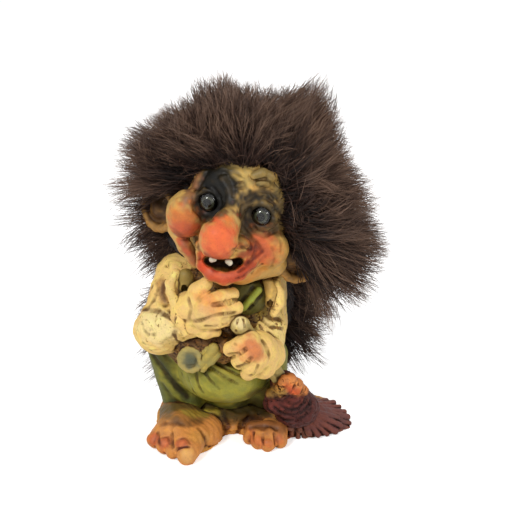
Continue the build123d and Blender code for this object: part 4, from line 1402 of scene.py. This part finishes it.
# Edge of the face, ear and body in the reference view, which the pile in front leaves clear
BARE_WINDOW = np.array(
    (
        (146, 203), (143, 210), (145, 219), (153, 228), (163, 233), (173, 235), (180, 246), (190, 262),
        (196, 270), (176, 272), (162, 276), (150, 290), (139, 306), (135, 330), (142, 350), (150, 380),
        (160, 404), (280, 400), (286, 372), (288, 340), (285, 312), (281, 290), (277, 284), (290, 286.5),
        (304, 284), (315, 276), (306, 274), (292, 274), (284, 266), (287, 252), (287, 237), (284, 222),
        (282, 206), (279, 192), (271, 181), (260, 175), (246, 171), (228, 169), (212, 169), (202, 172),
        (194, 179), (188, 190), (182, 197), (174, 200), (168, 205), (160, 207), (153, 204),
    )
)


def in_window(places):
    """Whether each place shows inside the bare window of the reference view."""
    offset = places - LOOK_FROM
    scale = HALF_FRAME / HALF_VIEW / (offset @ FORWARD)
    return inside(BARE_WINDOW, HALF_FRAME + offset @ RIGHT * scale, HALF_FRAME - offset @ UP * scale)


def lie_of(chance, directions, count):
    """Gathers fibres in locks: which lock each is in, its root's direction and where it aims."""
    lock = np.sort(chance.integers(0, len(directions), count))
    lean = chance.normal(size=(len(directions), 3)) * LOCK_LEAN
    here = directions[lock] + chance.normal(size=(count, 3)) * LOCK_WIDTH
    here /= np.linalg.norm(here, axis=1)[:, None]
    stray = np.where(chance.uniform(size=(count, 1)) < STRAY_SHARE, STRAY_AIM, LOCK_AIM)
    aim = directions[lock] + lean[lock] + chance.normal(size=(count, 3)) * stray
    aim /= np.linalg.norm(aim, axis=1)[:, None]
    return lock, here, aim


def grow_locks(chance, count, centre, reaches, root_radii, depths, directions):
    """Roots, bends, tips and tones of fibres that stand off round a middle, gathered in locks."""
    lock, here, aim = lie_of(chance, directions, count)
    lock_length = chance.uniform(*LOCK_LENGTHS, len(directions))
    lock_bend = chance.normal(size=(len(directions), 3)) * LOCK_BEND
    lock_tone = chance.uniform(*LOCK_TONES, len(directions))
    angle = np.degrees(np.arctan2(aim[:, 2], aim[:, 0]))
    table = np.array(sorted(((turn + 180) % 360 - 180, reach) for turn, reach in reaches))
    reach = np.interp(angle, table[:, 0], table[:, 1], period=360)
    flat = np.clip(np.hypot(aim[:, 0], aim[:, 2]), 0.2, 1)
    length = lock_length[lock] * (1 - SHORTEST_CUT * chance.uniform(0, 1, count) ** 2.0)
    depth = np.where(aim[:, 1] > 0, depths[1], depths[0])
    spread = reach * flat**-0.35
    out = np.stack([aim[:, 0] * spread, aim[:, 1] * depth, aim[:, 2] * spread], axis=1)
    root = centre + here * root_radii
    tip = centre + out * length[:, None]
    own_bend = chance.normal(size=root.shape) * FIBRE_BEND
    bend = (root + tip) / 2 + here * FIBRE_ARCH + lock_bend[lock] + own_bend
    tone = np.clip(MIDDLE_TONE + lock_tone[lock] + chance.normal(size=count) * FIBRE_TONE, 0.02, 0.98)
    return root, bend, tip, tone


def scattered(chance, count, allowed):
    """Directions scattered evenly over the part of a sphere that is allowed."""
    directions = chance.normal(size=(count * 12, 3))
    directions /= np.linalg.norm(directions, axis=1)[:, None]
    return directions[allowed(directions)][:count]


def fibre_mesh(name, root, bend, tip, tone, width, material):
    """Thin three-sided closed fibres along curves from root to tip."""
    rings = FIBRE_RINGS
    way = np.linspace(0, 1, rings + 1)[None, :, None]
    line = (1 - way) ** 2 * root[:, None] + 2 * way * (1 - way) * bend[:, None] + way**2 * tip[:, None]
    chance = np.random.default_rng(RANDOM_SEED)
    swing = np.clip(chance.normal(size=(len(root), 1, 3)), -2, 2) * FIBRE_SWING
    start = chance.uniform(size=(len(root), 1, 1))
    line += swing * way * np.sin(2 * math.pi * (FIBRE_WAVES * way + start))
    along = np.gradient(line, axis=1)
    along /= np.maximum(np.linalg.norm(along, axis=2), 1e-6)[..., None]
    aside = np.cross(along, SLANT)
    aside /= np.maximum(np.linalg.norm(aside, axis=2), 1e-6)[..., None]
    above = np.cross(along, aside)
    thick = width / MM / 2 * (1 - FIBRE_TAPER * way[:, :rings, :] ** 1.5)
    corners = []
    for turn in (0, 2 * math.pi / 3, 4 * math.pi / 3):
        outward = aside[:, :rings] * math.cos(turn) + above[:, :rings] * math.sin(turn)
        corners.append(line[:, :rings] + outward * thick)
    body = np.stack(corners, axis=2).reshape(len(root), rings * 3, 3)
    points = np.concatenate([body, line[:, rings:]], axis=1)
    each = rings * 3 + 1
    pattern = [(0, 2, 1)]
    for ring in range(rings - 1):
        for side in range(3):
            one, two = ring * 3 + side, ring * 3 + (side + 1) % 3
            pattern += [(one, two, two + 3), (one, two + 3, one + 3)]
    last = (rings - 1) * 3
    pattern += [(last + side, last + (side + 1) % 3, each - 1) for side in range(3)]
    faces = (np.array(pattern)[None] + np.arange(len(root))[:, None, None] * each).reshape(-1, 3)
    piece = mesh_piece(name, points.reshape(-1, 3), faces, material)
    up = np.concatenate([np.repeat(way[0, :rings, 0], 3), [1.0]])
    places = np.stack([np.repeat(tone, each), np.tile(up, len(root))], axis=1)
    corner = np.empty(len(piece.data.loops), dtype=np.int32)
    piece.data.loops.foreach_get("vertex_index", corner)
    layer = piece.data.uv_layers.new(name="OFBake")
    layer.data.foreach_set("uv", places[corner].astype(np.float32).ravel())


def under_wig(directions):
    """Where the wig covers the head: behind the hairline, clear of the right ear and the throat."""
    out = directions @ FACE_FORWARD
    up = directions @ HEAD_UP
    across = directions @ HEAD_RIGHT
    behind = out < 0.3 + 0.36 * np.maximum(up, 0)
    ear = (across < -0.55) & (up < 0.12) & (out > -0.3)
    throat = (up < -0.55) & (out > -0.35)
    return behind & ~ear & ~throat


def on_front_rim(directions):
    """The wig's front edge, which follows the edge of the face and shows its fibres from root to tip."""
    out = directions @ FACE_FORWARD
    low = directions @ HEAD_UP < np.where(directions @ HEAD_RIGHT < 0, 0.1, -0.5)
    return (out > -0.25) & (out < 0.9) & ~low & ~in_window(HEAD_CENTRE + directions * SKULL)


def below_right_ear(directions):
    """The nape behind the right ear, whose locks hang beside the cheek and the shoulder."""
    out = directions @ FACE_FORWARD
    angle = np.degrees(np.arctan2(directions[:, 2], directions[:, 0])) % 360
    return (out < 0.0) & (out > -0.85) & (angle > 178) & (angle < 236)


def down_back(directions):
    """The mane hangs down the back only."""
    return (directions[:, 1] > -0.3) & (directions[:, 2] < 0.45)


class TrollSettings(bpy.types.PropertyGroup):
    """Sizes and colours of the figure."""

    fibre_count: IntProperty(name="Fibres", description="Fibres in the whole wig", default=64000, min=2000)
    fibre_width: FloatProperty(
        name="Fibre width", description="Width of a fibre at its root", default=0.3 * MM, unit="LENGTH"
    )
    skin_colour: FloatVectorProperty(
        name="Skin", description="Ochre of the face", subtype="COLOR", size=4, default=linear("#BD9758")
    )
    flush_colour: FloatVectorProperty(
        name="Flush", description="Rosy cheeks, knuckles and toes", subtype="COLOR", size=4,
        default=linear("#BC563A"),
    )
    nose_colour: FloatVectorProperty(
        name="Nose", description="Orange red of the nose", subtype="COLOR", size=4, default=linear("#E16840")
    )
    shirt_colour: FloatVectorProperty(
        name="Shirt", description="Cream of the sleeves", subtype="COLOR", size=4, default=linear("#F0C67A")
    )
    hand_colour: FloatVectorProperty(
        name="Hands", description="Pale skin of the hands", subtype="COLOR", size=4, default=linear("#EABF76")
    )
    trousers_colour: FloatVectorProperty(
        name="Trousers", description="Green of the dungarees", subtype="COLOR", size=4,
        default=linear("#807E33"),
    )
    ground_colour: FloatVectorProperty(
        name="Ground", description="Brown of the moulded ground", subtype="COLOR", size=4,
        default=linear("#C08A45"),
    )
    foot_colour: FloatVectorProperty(
        name="Feet", description="Orange brown of the feet", subtype="COLOR", size=4,
        default=linear("#CF8949"),
    )
    twig_colour: FloatVectorProperty(
        name="Twigs", description="Maroon brown of the twigs", subtype="COLOR", size=4,
        default=linear("#6C3E38"),
    )
    # Thin brown of the washes, which also darkens the creases as painted shade
    wash_and_shade_colour: FloatVectorProperty(
        name="Wash", description="Brown that stays in creases", subtype="COLOR", size=4,
        default=linear("#5E4226"),
    )
    # Pale paint on ridges, which also lightens them as a painted highlight
    dry_brush_and_highlight_colour: FloatVectorProperty(
        name="Dry brush", description="Pale paint on ridges", subtype="COLOR", size=4,
        default=linear("#FFF4D2"),
    )
    # The roots take this dark tone as painted shade deep in the pile
    fur_dark: FloatVectorProperty(
        name="Fur, dark", description="Darkest fibres", subtype="COLOR", size=4, default=linear("#130D0C")
    )
    fur_brown: FloatVectorProperty(
        name="Fur, brown", description="Middle tone of the fibres", subtype="COLOR", size=4,
        default=linear("#48332B"),
    )
    fur_tip: FloatVectorProperty(
        name="Fur, tips", description="Lightest tips", subtype="COLOR", size=4, default=linear("#A5846E")
    )


class TROLL_OT_ground(bpy.types.Operator):
    """Cast the moulded ground"""

    bl_idname = "troll.ground"
    bl_label = "Ground"

    def execute(self, context):
        settings = context.scene.troll_settings
        paint = Paint("plinth", settings.ground_colour)
        moss_earth_and_shadows = (
            # Painted shadow under the belly's overhang: the two dark olive bands
            ([(170, 408), (200, 408), (230, 406), (262, 406)], 3.6, "#5A5526", 0.9),
            ([(222, 416), (240, 416), (262, 416)], 3.4, "#4E4524", 0.85),
            ([(189, 412), (203, 413.5), (216, 413)], 1.5, "#B9A843", 0.9),
            ([(192, 420), (214, 420)], 1.5, "#A8763A", 0.7),
            ([(206, 438), (216, 430), (232, 430), (244, 434)], 3.0, "#D08A46", 0.75),
            ([(200, 424), (216, 424)], 2.0, "#9C8038", 0.6),
            # Painted shadow under the broom's crown
            ([(250, 424), (266, 426), (284, 428)], 3.0, "#7E4A2A", 0.75),
            ([(262, 440), (280, 440), (298, 440)], 2.4, "#C9703A", 0.8),
        )
        paint.brush(moss_earth_and_shadows)
        material = painted_rubber("painted_latex_ground", wash_and_shade=1.0, dry_brush_and_highlight=0.5)
        cast(
            "plinth", paint, material,
            ("trousers", "right_foot", "left_foot", "broom_twigs"),
        )
        return {"FINISHED"}


class TROLL_OT_feet(bpy.types.Operator):
    """Cast the bare feet"""

    bl_idname = "troll.feet"
    bl_label = "Feet"

    def execute(self, context):
        settings = context.scene.troll_settings
        material = painted_rubber("painted_latex_feet", wash_and_shade=1.0, dry_brush_and_highlight=0.5)
        right = Paint("right_foot", settings.foot_colour)
        instep_tones_and_shadow = (
            # Painted shadow: the dark olive and brown bands along the top of the foot, under the trousers
            ([(150, 408), (172, 409), (206, 409)], 4.4, "#4A4524", 0.92),
            ([(150, 418), (172, 419), (200, 418)], 2.4, "#6A532C", 0.75),
            ([(186, 412), (204, 414)], 2.2, "#9A8738", 0.8),
            ([(154, 428), (170, 430)], 3.6, "#C98A50", 0.6),
            ([(176, 420), (188, 424), (200, 422)], 1.8, "#6B4A2A", 0.75),
        )
        right.brush(instep_tones_and_shadow)
        for pixel in ((154, 440), (164, 443), (182, 444)):
            toe_tones = (
                ([pixel], 2.7, "#A84A34", 0.8),
                ([pixel], 1.2, "#C8764E", 0.6),
            )
            right.brush(toe_tones)
        big_toe_tones = (
            ([(187, 456)], 3.0, "#D9A263", 0.85),
            ([(196, 436), (206, 440)], 3.0, "#BE8A48", 0.7),
        )
        right.brush(big_toe_tones)
        cast("right_foot", right, material, ("plinth", "trousers"))
        left = Paint("left_foot", settings.foot_colour)
        # Painted shadow over the top of the left foot, under the broom's crown
        instep_tones_and_shadow = (([(244, 424), (262, 424), (282, 428)], 3.2, "#6E4426", 0.85),)
        left.brush(instep_tones_and_shadow)
        for pixel in ((251, 438), (259, 441), (268, 443), (279, 440)):
            left.brush([([pixel], 2.3, "#B4603A", 0.7)])
        cast("left_foot", left, material, ("plinth", "trousers", "broom_twigs"), margin=9.0)
        return {"FINISHED"}


class TROLL_OT_trousers(bpy.types.Operator):
    """Cast the dungarees"""

    bl_idname = "troll.trousers"
    bl_label = "Trousers"

    def execute(self, context):
        settings = context.scene.troll_settings
        paint = Paint("trousers", settings.trousers_colour)
        trouser_tones_highlights_and_shadows = (
            ([(148, 356), (156, 380), (166, 404)], 5.4, "#555B2A", 0.85),
            # Painted shade in the crease under the belly's overhang
            ([(156, 352), (170, 376), (186, 397)], 2.0, "#3E4320", 0.8),
            # Painted highlights on the belly's swell and along the folds from the button
            ([(196, 388), (220, 394), (242, 390)], 4.4, "#98953F", 0.8),
            ([(206, 362), (224, 374), (244, 382)], 2.2, "#A39A45", 0.6),
            # Painted shadow under the belly and beside the broom
            ([(172, 406), (206, 412), (240, 410)], 2.6, "#33351A", 0.9),
            ([(190, 400), (214, 405.5), (240, 403)], 1.5, "#4B5222", 0.85),
            ([(246, 404), (262, 404)], 3.4, "#3E3B1E", 0.85),
            ([(252, 394), (266, 390)], 3.2, "#5A4E28", 0.8),
        )
        paint.brush(trouser_tones_highlights_and_shadows)
        material = painted_rubber("painted_latex_trousers", wash_and_shade=0.95, dry_brush_and_highlight=0.45)
        near = (
            "right_sleeve", "left_hand", "waistband", "brace_button", "button_loop", "broom_handle",
            "plinth",
        )
        cast("trousers", paint, material, near)
        return {"FINISHED"}


class TROLL_OT_bib(bpy.types.Operator):
    """Cast the bib and the braces"""

    bl_idname = "troll.bib"
    bl_label = "Bib and braces"

    def execute(self, context):
        green = painted_rubber("painted_latex_bib", wash_and_shade=0.95, dry_brush_and_highlight=0.4)
        bib = Paint("bib", "#5F5A2A")
        seam = (([(243, 308), (251, 299), (259, 290)], 1.5, "#A3AE48", 0.95),)
        bib.brush(seam)
        cast("bib", bib, green, ("head", "right_hand", "left_sleeve", "shirt"))
        brown = painted_rubber("painted_latex_braces", wash_and_shade=1.0, dry_brush_and_highlight=0.5)
        cast(
            "right_brace", Paint("right_brace", "#8E7A42"), brown,
            ("right_sleeve", "right_hand", "head"),
        )
        cast(
            "left_brace", Paint("left_brace", "#C39F5A"), brown,
            ("left_sleeve", "shirt", "head"),
        )
        return {"FINISHED"}


class TROLL_OT_shirt(bpy.types.Operator):
    """Cast the shirt and its sleeves"""

    bl_idname = "troll.shirt"
    bl_label = "Shirt"

    def execute(self, context):
        settings = context.scene.troll_settings
        cloth = painted_rubber("painted_latex_shirt", wash_and_shade=1.0, dry_brush_and_highlight=0.55)
        trunk = Paint("shirt", "#6E522C")
        sunlit_side = (([(262, 290), (262, 312)], 3.0, "#8C7A3C", 0.8),)
        trunk.brush(sunlit_side)
        cast("shirt", trunk, cloth, ("head", "right_hand", "left_hand", "bib", "waistband"))
        right = Paint("right_sleeve", settings.shirt_colour)
        elbow_highlight_and_fold_shade = (
            # Painted highlight on the swell of the elbow
            ([(150, 324), (162, 332)], 6.5, "#F3DC9E", 0.8),
            # Painted shade in the folds of the upper arm, by the shoulder
            ([(148, 292), (140, 306)], 2.8, "#C98F4A", 0.65),
            ([(160, 282), (164, 298)], 2.2, "#9A6E3A", 0.7),
            ([(176, 276), (170, 288), (175, 302)], 1.6, "#E3C27C", 0.8),
            # Painted shade in the fold by the cuff
            ([(168, 345), (178, 338)], 2.4, "#B89450", 0.6),
        )
        right.brush(elbow_highlight_and_fold_shade)
        cast(
            "right_sleeve", right, cloth,
            ("shirt", "trousers", "right_hand", "head", "waistband"),
        )
        left = Paint("left_sleeve", settings.shirt_colour)
        fold_shade_and_forearm_highlight = (
            # Painted shade in the fold of the upper arm
            ([(266, 296), (266, 314)], 3.0, "#A8853F", 0.7),
            # Painted highlight on the forearm
            ([(272, 322), (280, 336)], 4.0, "#EDD189", 0.7),
            ([(270, 352), (272, 366)], 2.6, "#DDB66C", 0.7),
        )
        left.brush(fold_shade_and_forearm_highlight)
        cast("left_sleeve", left, cloth, ("shirt", "trousers", "left_hand", "head", "bib"))
        return {"FINISHED"}


class TROLL_OT_hands(bpy.types.Operator):
    """Cast the two hands"""

    bl_idname = "troll.hands"
    bl_label = "Hands"

    def execute(self, context):
        settings = context.scene.troll_settings
        material = painted_rubber("painted_latex_hands", wash_and_shade=0.9, dry_brush_and_highlight=0.45)
        right = Paint("right_hand", settings.hand_colour)
        knuckles = (
            ([(204, 300), (212, 306)], 4.0, "#DB8449", 0.75),
            ([(196, 314), (206, 322)], 5.0, "#DDB97C", 0.6),
            ([(226, 318), (234, 316)], 2.0, "#B9A070", 0.5),
        )
        right.brush(knuckles)
        cast(
            "right_hand", right, material,
            ("shirt", "right_sleeve", "waistband", "broom_handle"), step=0.6,
        )
        left = Paint("left_hand", settings.hand_colour)
        knuckles = (
            ([(250, 346), (256, 354)], 3.6, settings.flush_colour, 0.75),
            ([(240, 349), (246, 358)], 2.4, "#E79A62", 0.6),
        )
        left.brush(knuckles)
        cast(
            "left_hand", left, material,
            ("left_sleeve", "trousers", "broom_handle", "waistband"), step=0.6,
        )
        return {"FINISHED"}


class TROLL_OT_head(bpy.types.Operator):
    """Cast and paint the head"""

    bl_idname = "troll.head"
    bl_label = "Head"

    def execute(self, context):
        material = painted_rubber("painted_latex_skin", wash_and_shade=0.85, dry_brush_and_highlight=0.45, satin=0.42)
        near = ("bib", "right_brace", "right_sleeve", "left_sleeve", "right_ear", "left_ear")
        cast("head", paint_head(context.scene.troll_settings), material, near, step=0.7)
        return {"FINISHED"}


class TROLL_OT_ears(bpy.types.Operator):
    """Cast the ears"""

    bl_idname = "troll.ears"
    bl_label = "Ears"

    def execute(self, context):
        material = painted_rubber("painted_latex_ears", wash_and_shade=1.0, dry_brush_and_highlight=0.5)
        for name, side in (("right_ear", -1), ("left_ear", 1)):
            paint = Paint(name, "#A87F48")
            # Dark brown in each ear's cup, darkest under the wig's brim: painted shade
            paint.patch(EAR_CENTRES[side] + HEAD_UP * 3, 6.6, "#2E2014", 0.95)
            paint.patch(EAR_CENTRES[side] - HEAD_UP * 2, 4.6, "#4A3220", 0.9)
            cast(name, paint, material, ("head",))
        return {"FINISHED"}


class TROLL_OT_eyes(bpy.types.Operator):
    """Finish the moulded eyes and their clear caps"""

    bl_idname = "troll.eyes"
    bl_label = "Eyes"

    def execute(self, context):
        cap = clear_acrylic("clear_moulded_acrylic")
        for name, side in (("right", -1), ("left", 1)):
            ball = moulded_eye(f"moulded_black_acrylic_{name}", EYE_CENTRES[side])
            for solid, material in ((f"{name}_eyeball", ball), (f"{name}_eye_cap", cap)):
                finish_solid(solid, material)
        return {"FINISHED"}


class TROLL_OT_teeth(bpy.types.Operator):
    """Cast the two teeth"""

    bl_idname = "troll.teeth"
    bl_label = "Teeth"

    def execute(self, context):
        material = painted_rubber("painted_latex_teeth", wash_and_shade=0.5, dry_brush_and_highlight=0.6, satin=0.3)
        for name in ("right_tooth", "left_tooth"):
            cast(name, Paint(name, "#F2EAD2"), material, (), step=0.35)
        return {"FINISHED"}


class TROLL_OT_waist(bpy.types.Operator):
    """Cast the waistband, the ring button and its loop"""

    bl_idname = "troll.waist"
    bl_label = "Waistband and button"

    def execute(self, context):
        brown = painted_rubber("painted_latex_waistband", wash_and_shade=1.0, dry_brush_and_highlight=0.7)
        band = Paint("waistband", "#6B4E28")
        shaded_middle = (([(196, 342), (214, 342)], 3.0, "#5A3F22", 0.8),)
        band.brush(shaded_middle)
        cast(
            "waistband", band, brown,
            ("shirt", "trousers", "right_hand", "right_sleeve", "left_hand", "brace_button"),
        )
        olive = painted_rubber("painted_latex_button", wash_and_shade=0.95, dry_brush_and_highlight=0.55)
        button = Paint("brace_button", "#A1935A")
        button.patch(BUTTON_CENTRE + BUTTON_FACING * 0.6, 2.9, "#575C4C", 0.95)
        cast(
            "brace_button", button, olive, ("trousers", "waistband", "button_loop"),
            step=0.5,
        )
        cast(
            "button_loop", Paint("button_loop", "#A29350"), olive,
            ("trousers", "waistband", "brace_button"), step=0.55,
        )
        return {"FINISHED"}


class TROLL_OT_broom(bpy.types.Operator):
    """Cast the broom: its stick, its crown and its twigs"""

    bl_idname = "troll.broom"
    bl_label = "Broom"

    def execute(self, context):
        settings = context.scene.troll_settings
        stick = painted_rubber("painted_latex_stick", wash_and_shade=1.0, dry_brush_and_highlight=0.5)
        handle = Paint("broom_handle", "#A3925A")
        cut_end = (([(240, 323)], 2.6, "#E6CE96", 0.9),)
        handle.brush(cut_end)
        cast(
            "broom_handle", handle, stick,
            ("left_hand", "right_hand", "trousers", "broom_binding"), step=0.6,
        )
        bound = painted_rubber("painted_latex_binding", wash_and_shade=1.0, dry_brush_and_highlight=0.5)
        crown = Paint("broom_binding", "#4C2522")
        knot_and_folds = (
            ([(280, 380), (292, 381), (302, 389)], 3.2, "#C77F48", 0.95),
            ([(286, 388), (298, 392)], 1.6, "#B5502E", 0.8),
            ([(270, 392), (282, 391)], 2.2, "#A5803F", 0.8),
            ([(270, 402), (280, 408), (290, 402), (302, 400)], 2.0, "#73332A", 0.6),
        )
        crown.brush(knot_and_folds)
        cast(
            "broom_binding", crown, bound, ("broom_handle", "trousers", "left_hand"),
            step=0.6,
        )
        twiggy = painted_rubber("painted_latex_twigs", wash_and_shade=1.0, dry_brush_and_highlight=0.6, satin=0.52)
        twigs = Paint("broom_twigs", settings.twig_colour)
        twig_tones = (
            ([(290, 428), (310, 438), (334, 438)], 2.4, "#82543C", 0.6),
            ([(330, 412), (344, 424)], 3.0, "#5E3E3C", 0.6),
        )
        twigs.brush(twig_tones)
        cast("broom_twigs", twigs, twiggy, ("broom_binding", "plinth"), step=0.6)
        return {"FINISHED"}


class TROLL_OT_inside(bpy.types.Operator):
    """Finish the filling, its plug, the dowel and the wig's backing"""

    bl_idname = "troll.inside"
    bl_label = "Inside"

    def execute(self, context):
        finishes = {
            # Poured polyurethane foam: dull and open, with bubbles about a millimetre wide
            "filler_core": grained("poured_foam", "#D8CFA8", "#B9A978", 1.1, (1.0, 1.0, 1.0), 0.92),
            # Moulded rubber plug: dull grey brown with a fine skin
            "fill_plug": grained("moulded_rubber_plug", "#5A5148", "#463E36", 0.8, (1.0, 1.0, 1.0), 0.62),
            # Turned birch dowel: pale, with grain drawn out along its length
            "neck_dowel": grained("turned_birch", "#DDC08E", "#C39E66", 0.9, (1.0, 1.0, 0.08), 0.55),
            # Woven polyester backing: a dull black cloth whose threads are 0.4 mm apart
            "wig_backing": grained(
                "woven_polyester_backing", "#1D1816", "#2C2420", 0.4, (1.0, 1.0, 1.0), 0.95
            ),
        }
        for name, material in finishes.items():
            finish_solid(name, material)
        return {"FINISHED"}


class TROLL_OT_wig(bpy.types.Operator):
    """Grow the wig's underfur and its long pile"""

    bl_idname = "troll.wig"
    bl_label = "Wig"

    def execute(self, context):
        settings = context.scene.troll_settings
        # Near-black underfur under the long pile: painted shade deep in the pile
        underfur = Paint("wig_pile", "#1A1311")
        cast("wig_pile", underfur, shaded_underfur("modacrylic_underfur_in_painted_shade"), (), step=1.5)
        chance = np.random.default_rng(RANDOM_SEED)
        count = settings.fibre_count // 1
        growths = []
        for share, allowed, centre, reaches, root_radii, depths in (
            (0.4, on_front_rim, HEAD_CENTRE, HEAD_REACH, SKULL, (22.0, 30.0)),
            (0.3, under_wig, HEAD_CENTRE, HEAD_REACH, SKULL, (22.0, 40.0)),
            (0.1, below_right_ear, HEAD_CENTRE, HEAD_REACH, SKULL, (10.0, 16.0)),
            (0.2, down_back, MANE_CENTRE, MANE_REACH, NAPE, (6.0, 22.0)),
        ):
            number = int(count * share)
            locks = scattered(chance, number // FIBRES_IN_LOCK, allowed)
            growths.append(grow_locks(chance, number, centre, reaches, root_radii, depths, locks))
        root, bend, tip, tone = (np.concatenate(parts) for parts in zip(*growths))
        # The locks beside the left cheek fall forward over the ear, more and more below its top
        ear_top, fade, forward = 92.0, 8.0, 15.0
        beside = np.clip((root - HEAD_CENTRE) @ HEAD_RIGHT / 20 - 0.45, 0, 1)
        over_ear = beside * np.clip((ear_top - root[:, 2]) / fade, 0, 1)
        bend[:, 1] -= forward * over_ear * (root[:, 1] < 0)
        # The pile ends within the figure's own box
        low, high = (np.array(corner) / MM for corner in CAD_BOX)
        tip = np.clip(tip, low + np.array((-1.6, -1.0, 1.5)), high + 1.6)
        bend = np.clip(bend, low + np.array((-1.0, -1.0, 2.0)), high + 1.0)
        blocked = np.zeros(len(root), dtype=bool)
        # Behind the middle of the ears the pile may pass: the casting hides it there
        hidden_from = np.where(tip[:, 0] < -8, -1.0, 6.0)
        for way in (0.06, 0.2, 0.35, 0.5, 0.65, 0.8, 1.0):
            place = (1 - way) ** 2 * root + 2 * way * (1 - way) * bend + way**2 * tip
            blocked |= in_window(place) & (place[:, 1] < hidden_from)
        kept = ~blocked
        root, bend, tip, tone = root[kept], bend[kept], tip[kept], tone[kept]
        material = modacrylic_pile("long_modacrylic_pile")
        order = chance.permutation(len(root))
        for index, part in enumerate(np.array_split(order, 1 + len(order) // FIBRES_IN_PIECE)):
            fibres = (root[part], bend[part], tip[part], tone[part])
            fibre_mesh(f"wig_fibres_{index + 1}", *fibres, settings.fibre_width, material)
        return {"FINISHED"}


class TROLL_OT_stage(bpy.types.Operator):
    """Set the pale floor, the soft lamps and the camera"""

    bl_idname = "troll.stage"
    bl_label = "Stage"

    def execute(self, context):
        scene = context.scene
        mesh = bpy.data.meshes.new("floor")
        corners = [(FLOOR_HALF * x, FLOOR_HALF * y, 0) for x, y in ((-1, -1), (1, -1), (1, 1), (-1, 1))]
        mesh.from_pydata(corners, [], [(0, 1, 2, 3)])
        floor = bpy.data.objects.new("floor", mesh)
        scene.collection.objects.link(floor)
        # Matt white card: no gloss, so that only soft shadows show on it
        material, tree = new_material("matt_white_card")
        places = node(tree, "ShaderNodeTexCoord").outputs["Object"]
        fibres = node(tree, "ShaderNodeTexNoise", {"Vector": places, "Scale": 60.0})
        tint = node(
            tree, "ShaderNodeMix", {0: fibres.outputs["Fac"], 6: linear("#FDFDFD"), 7: linear("#FBFBFB")},
            data_type="RGBA",
        )
        card = node(tree, "ShaderNodeBsdfDiffuse", {"Color": tint.outputs[2]})
        path = node(tree, "ShaderNodeLightPath")
        lift = node(
            tree, "ShaderNodeMath", {0: path.outputs["Is Camera Ray"], 1: FLOOR_LIFT}, operation="MULTIPLY"
        )
        glow = node(tree, "ShaderNodeEmission", {"Strength": lift.outputs[0]})
        both = node(tree, "ShaderNodeAddShader", {0: card.outputs[0], 1: glow.outputs[0]})
        node(tree, "ShaderNodeOutputMaterial", {"Surface": both.outputs[0]})
        mesh.materials.append(material)

        scene.view_settings.view_transform = "Standard"
        # White walls: full white where they are seen, mirrored or seen through, dimmer as light
        world = bpy.data.worlds.new("soft_studio")
        scene.world = world
        world.use_nodes = True
        tree = world.node_tree
        tree.nodes.clear()
        path = node(tree, "ShaderNodeLightPath").outputs
        seen = node(
            tree, "ShaderNodeMath", {0: path["Is Camera Ray"], 1: path["Is Transmission Ray"]},
            operation="MAXIMUM",
        )
        mirrored = node(
            tree, "ShaderNodeMath", {0: seen.outputs[0], 1: path["Is Glossy Ray"]}, operation="MAXIMUM"
        )
        strength = node(
            tree, "ShaderNodeMapRange", {0: mirrored.outputs[0], 1: 0.0, 2: 1.0, 3: STUDIO_LIGHT, 4: 1.0}
        )
        walls = node(
            tree, "ShaderNodeBackground", {"Color": (1.0, 1.0, 1.0, 1.0), "Strength": strength.outputs[0]}
        )
        node(tree, "ShaderNodeOutputWorld", {"Surface": walls.outputs[0]})

        for name, place, width, power in LAMPS:
            lamp = bpy.data.lights.new(name, "AREA")
            lamp.shape = "DISK"
            lamp.size = width
            lamp.energy = power
            holder = bpy.data.objects.new(name, lamp)
            holder.location = place
            aim = Vector(LAMPS_AIM) - Vector(place)
            holder.rotation_euler = aim.to_track_quat("-Z", "Y").to_euler()
            scene.collection.objects.link(holder)

        camera = bpy.data.cameras.new("reference_camera")
        camera.lens = LENS_MM
        camera.sensor_width = SENSOR_MM
        holder = bpy.data.objects.new("reference_camera", camera)
        holder.location = Vector(LOOK_FROM * MM)
        holder.rotation_euler = (math.pi / 2 - CAMERA_ELEVATION, 0.0, 0.0)
        scene.collection.objects.link(holder)
        scene.camera = holder
        return {"FINISHED"}


OPERATORS = (
    TROLL_OT_stage,
    TROLL_OT_ground,
    TROLL_OT_feet,
    TROLL_OT_trousers,
    TROLL_OT_bib,
    TROLL_OT_shirt,
    TROLL_OT_hands,
    TROLL_OT_waist,
    TROLL_OT_broom,
    TROLL_OT_head,
    TROLL_OT_ears,
    TROLL_OT_eyes,
    TROLL_OT_teeth,
    TROLL_OT_inside,
    TROLL_OT_wig,
)


class TROLL_PT_panel(bpy.types.Panel):
    """Settings and pieces of the troll"""

    bl_idname = "TROLL_PT_panel"
    bl_label = "Troll"
    bl_space_type = "VIEW_3D"
    bl_region_type = "UI"
    bl_category = "Troll"

    def draw(self, context):
        settings = context.scene.troll_settings
        for name in TrollSettings.__annotations__:
            self.layout.prop(settings, name)
        for operator in OPERATORS:
            self.layout.operator(operator.bl_idname)


CLASSES = (TrollSettings, *OPERATORS, TROLL_PT_panel)


def register():
    """Makes the settings, operators and panel known."""
    for one in CLASSES:
        bpy.utils.register_class(one)
    bpy.types.Scene.troll_settings = PointerProperty(type=TrollSettings)


def unregister():
    """Takes them away again."""
    del bpy.types.Scene.troll_settings
    for one in reversed(CLASSES):
        bpy.utils.unregister_class(one)


def main():
    """Builds the figure and its stage."""
    register()
    for operator in OPERATORS:
        group, name = operator.bl_idname.split(".")
        getattr(getattr(bpy.ops, group), name)()


if __name__ == "__main__":
    main()
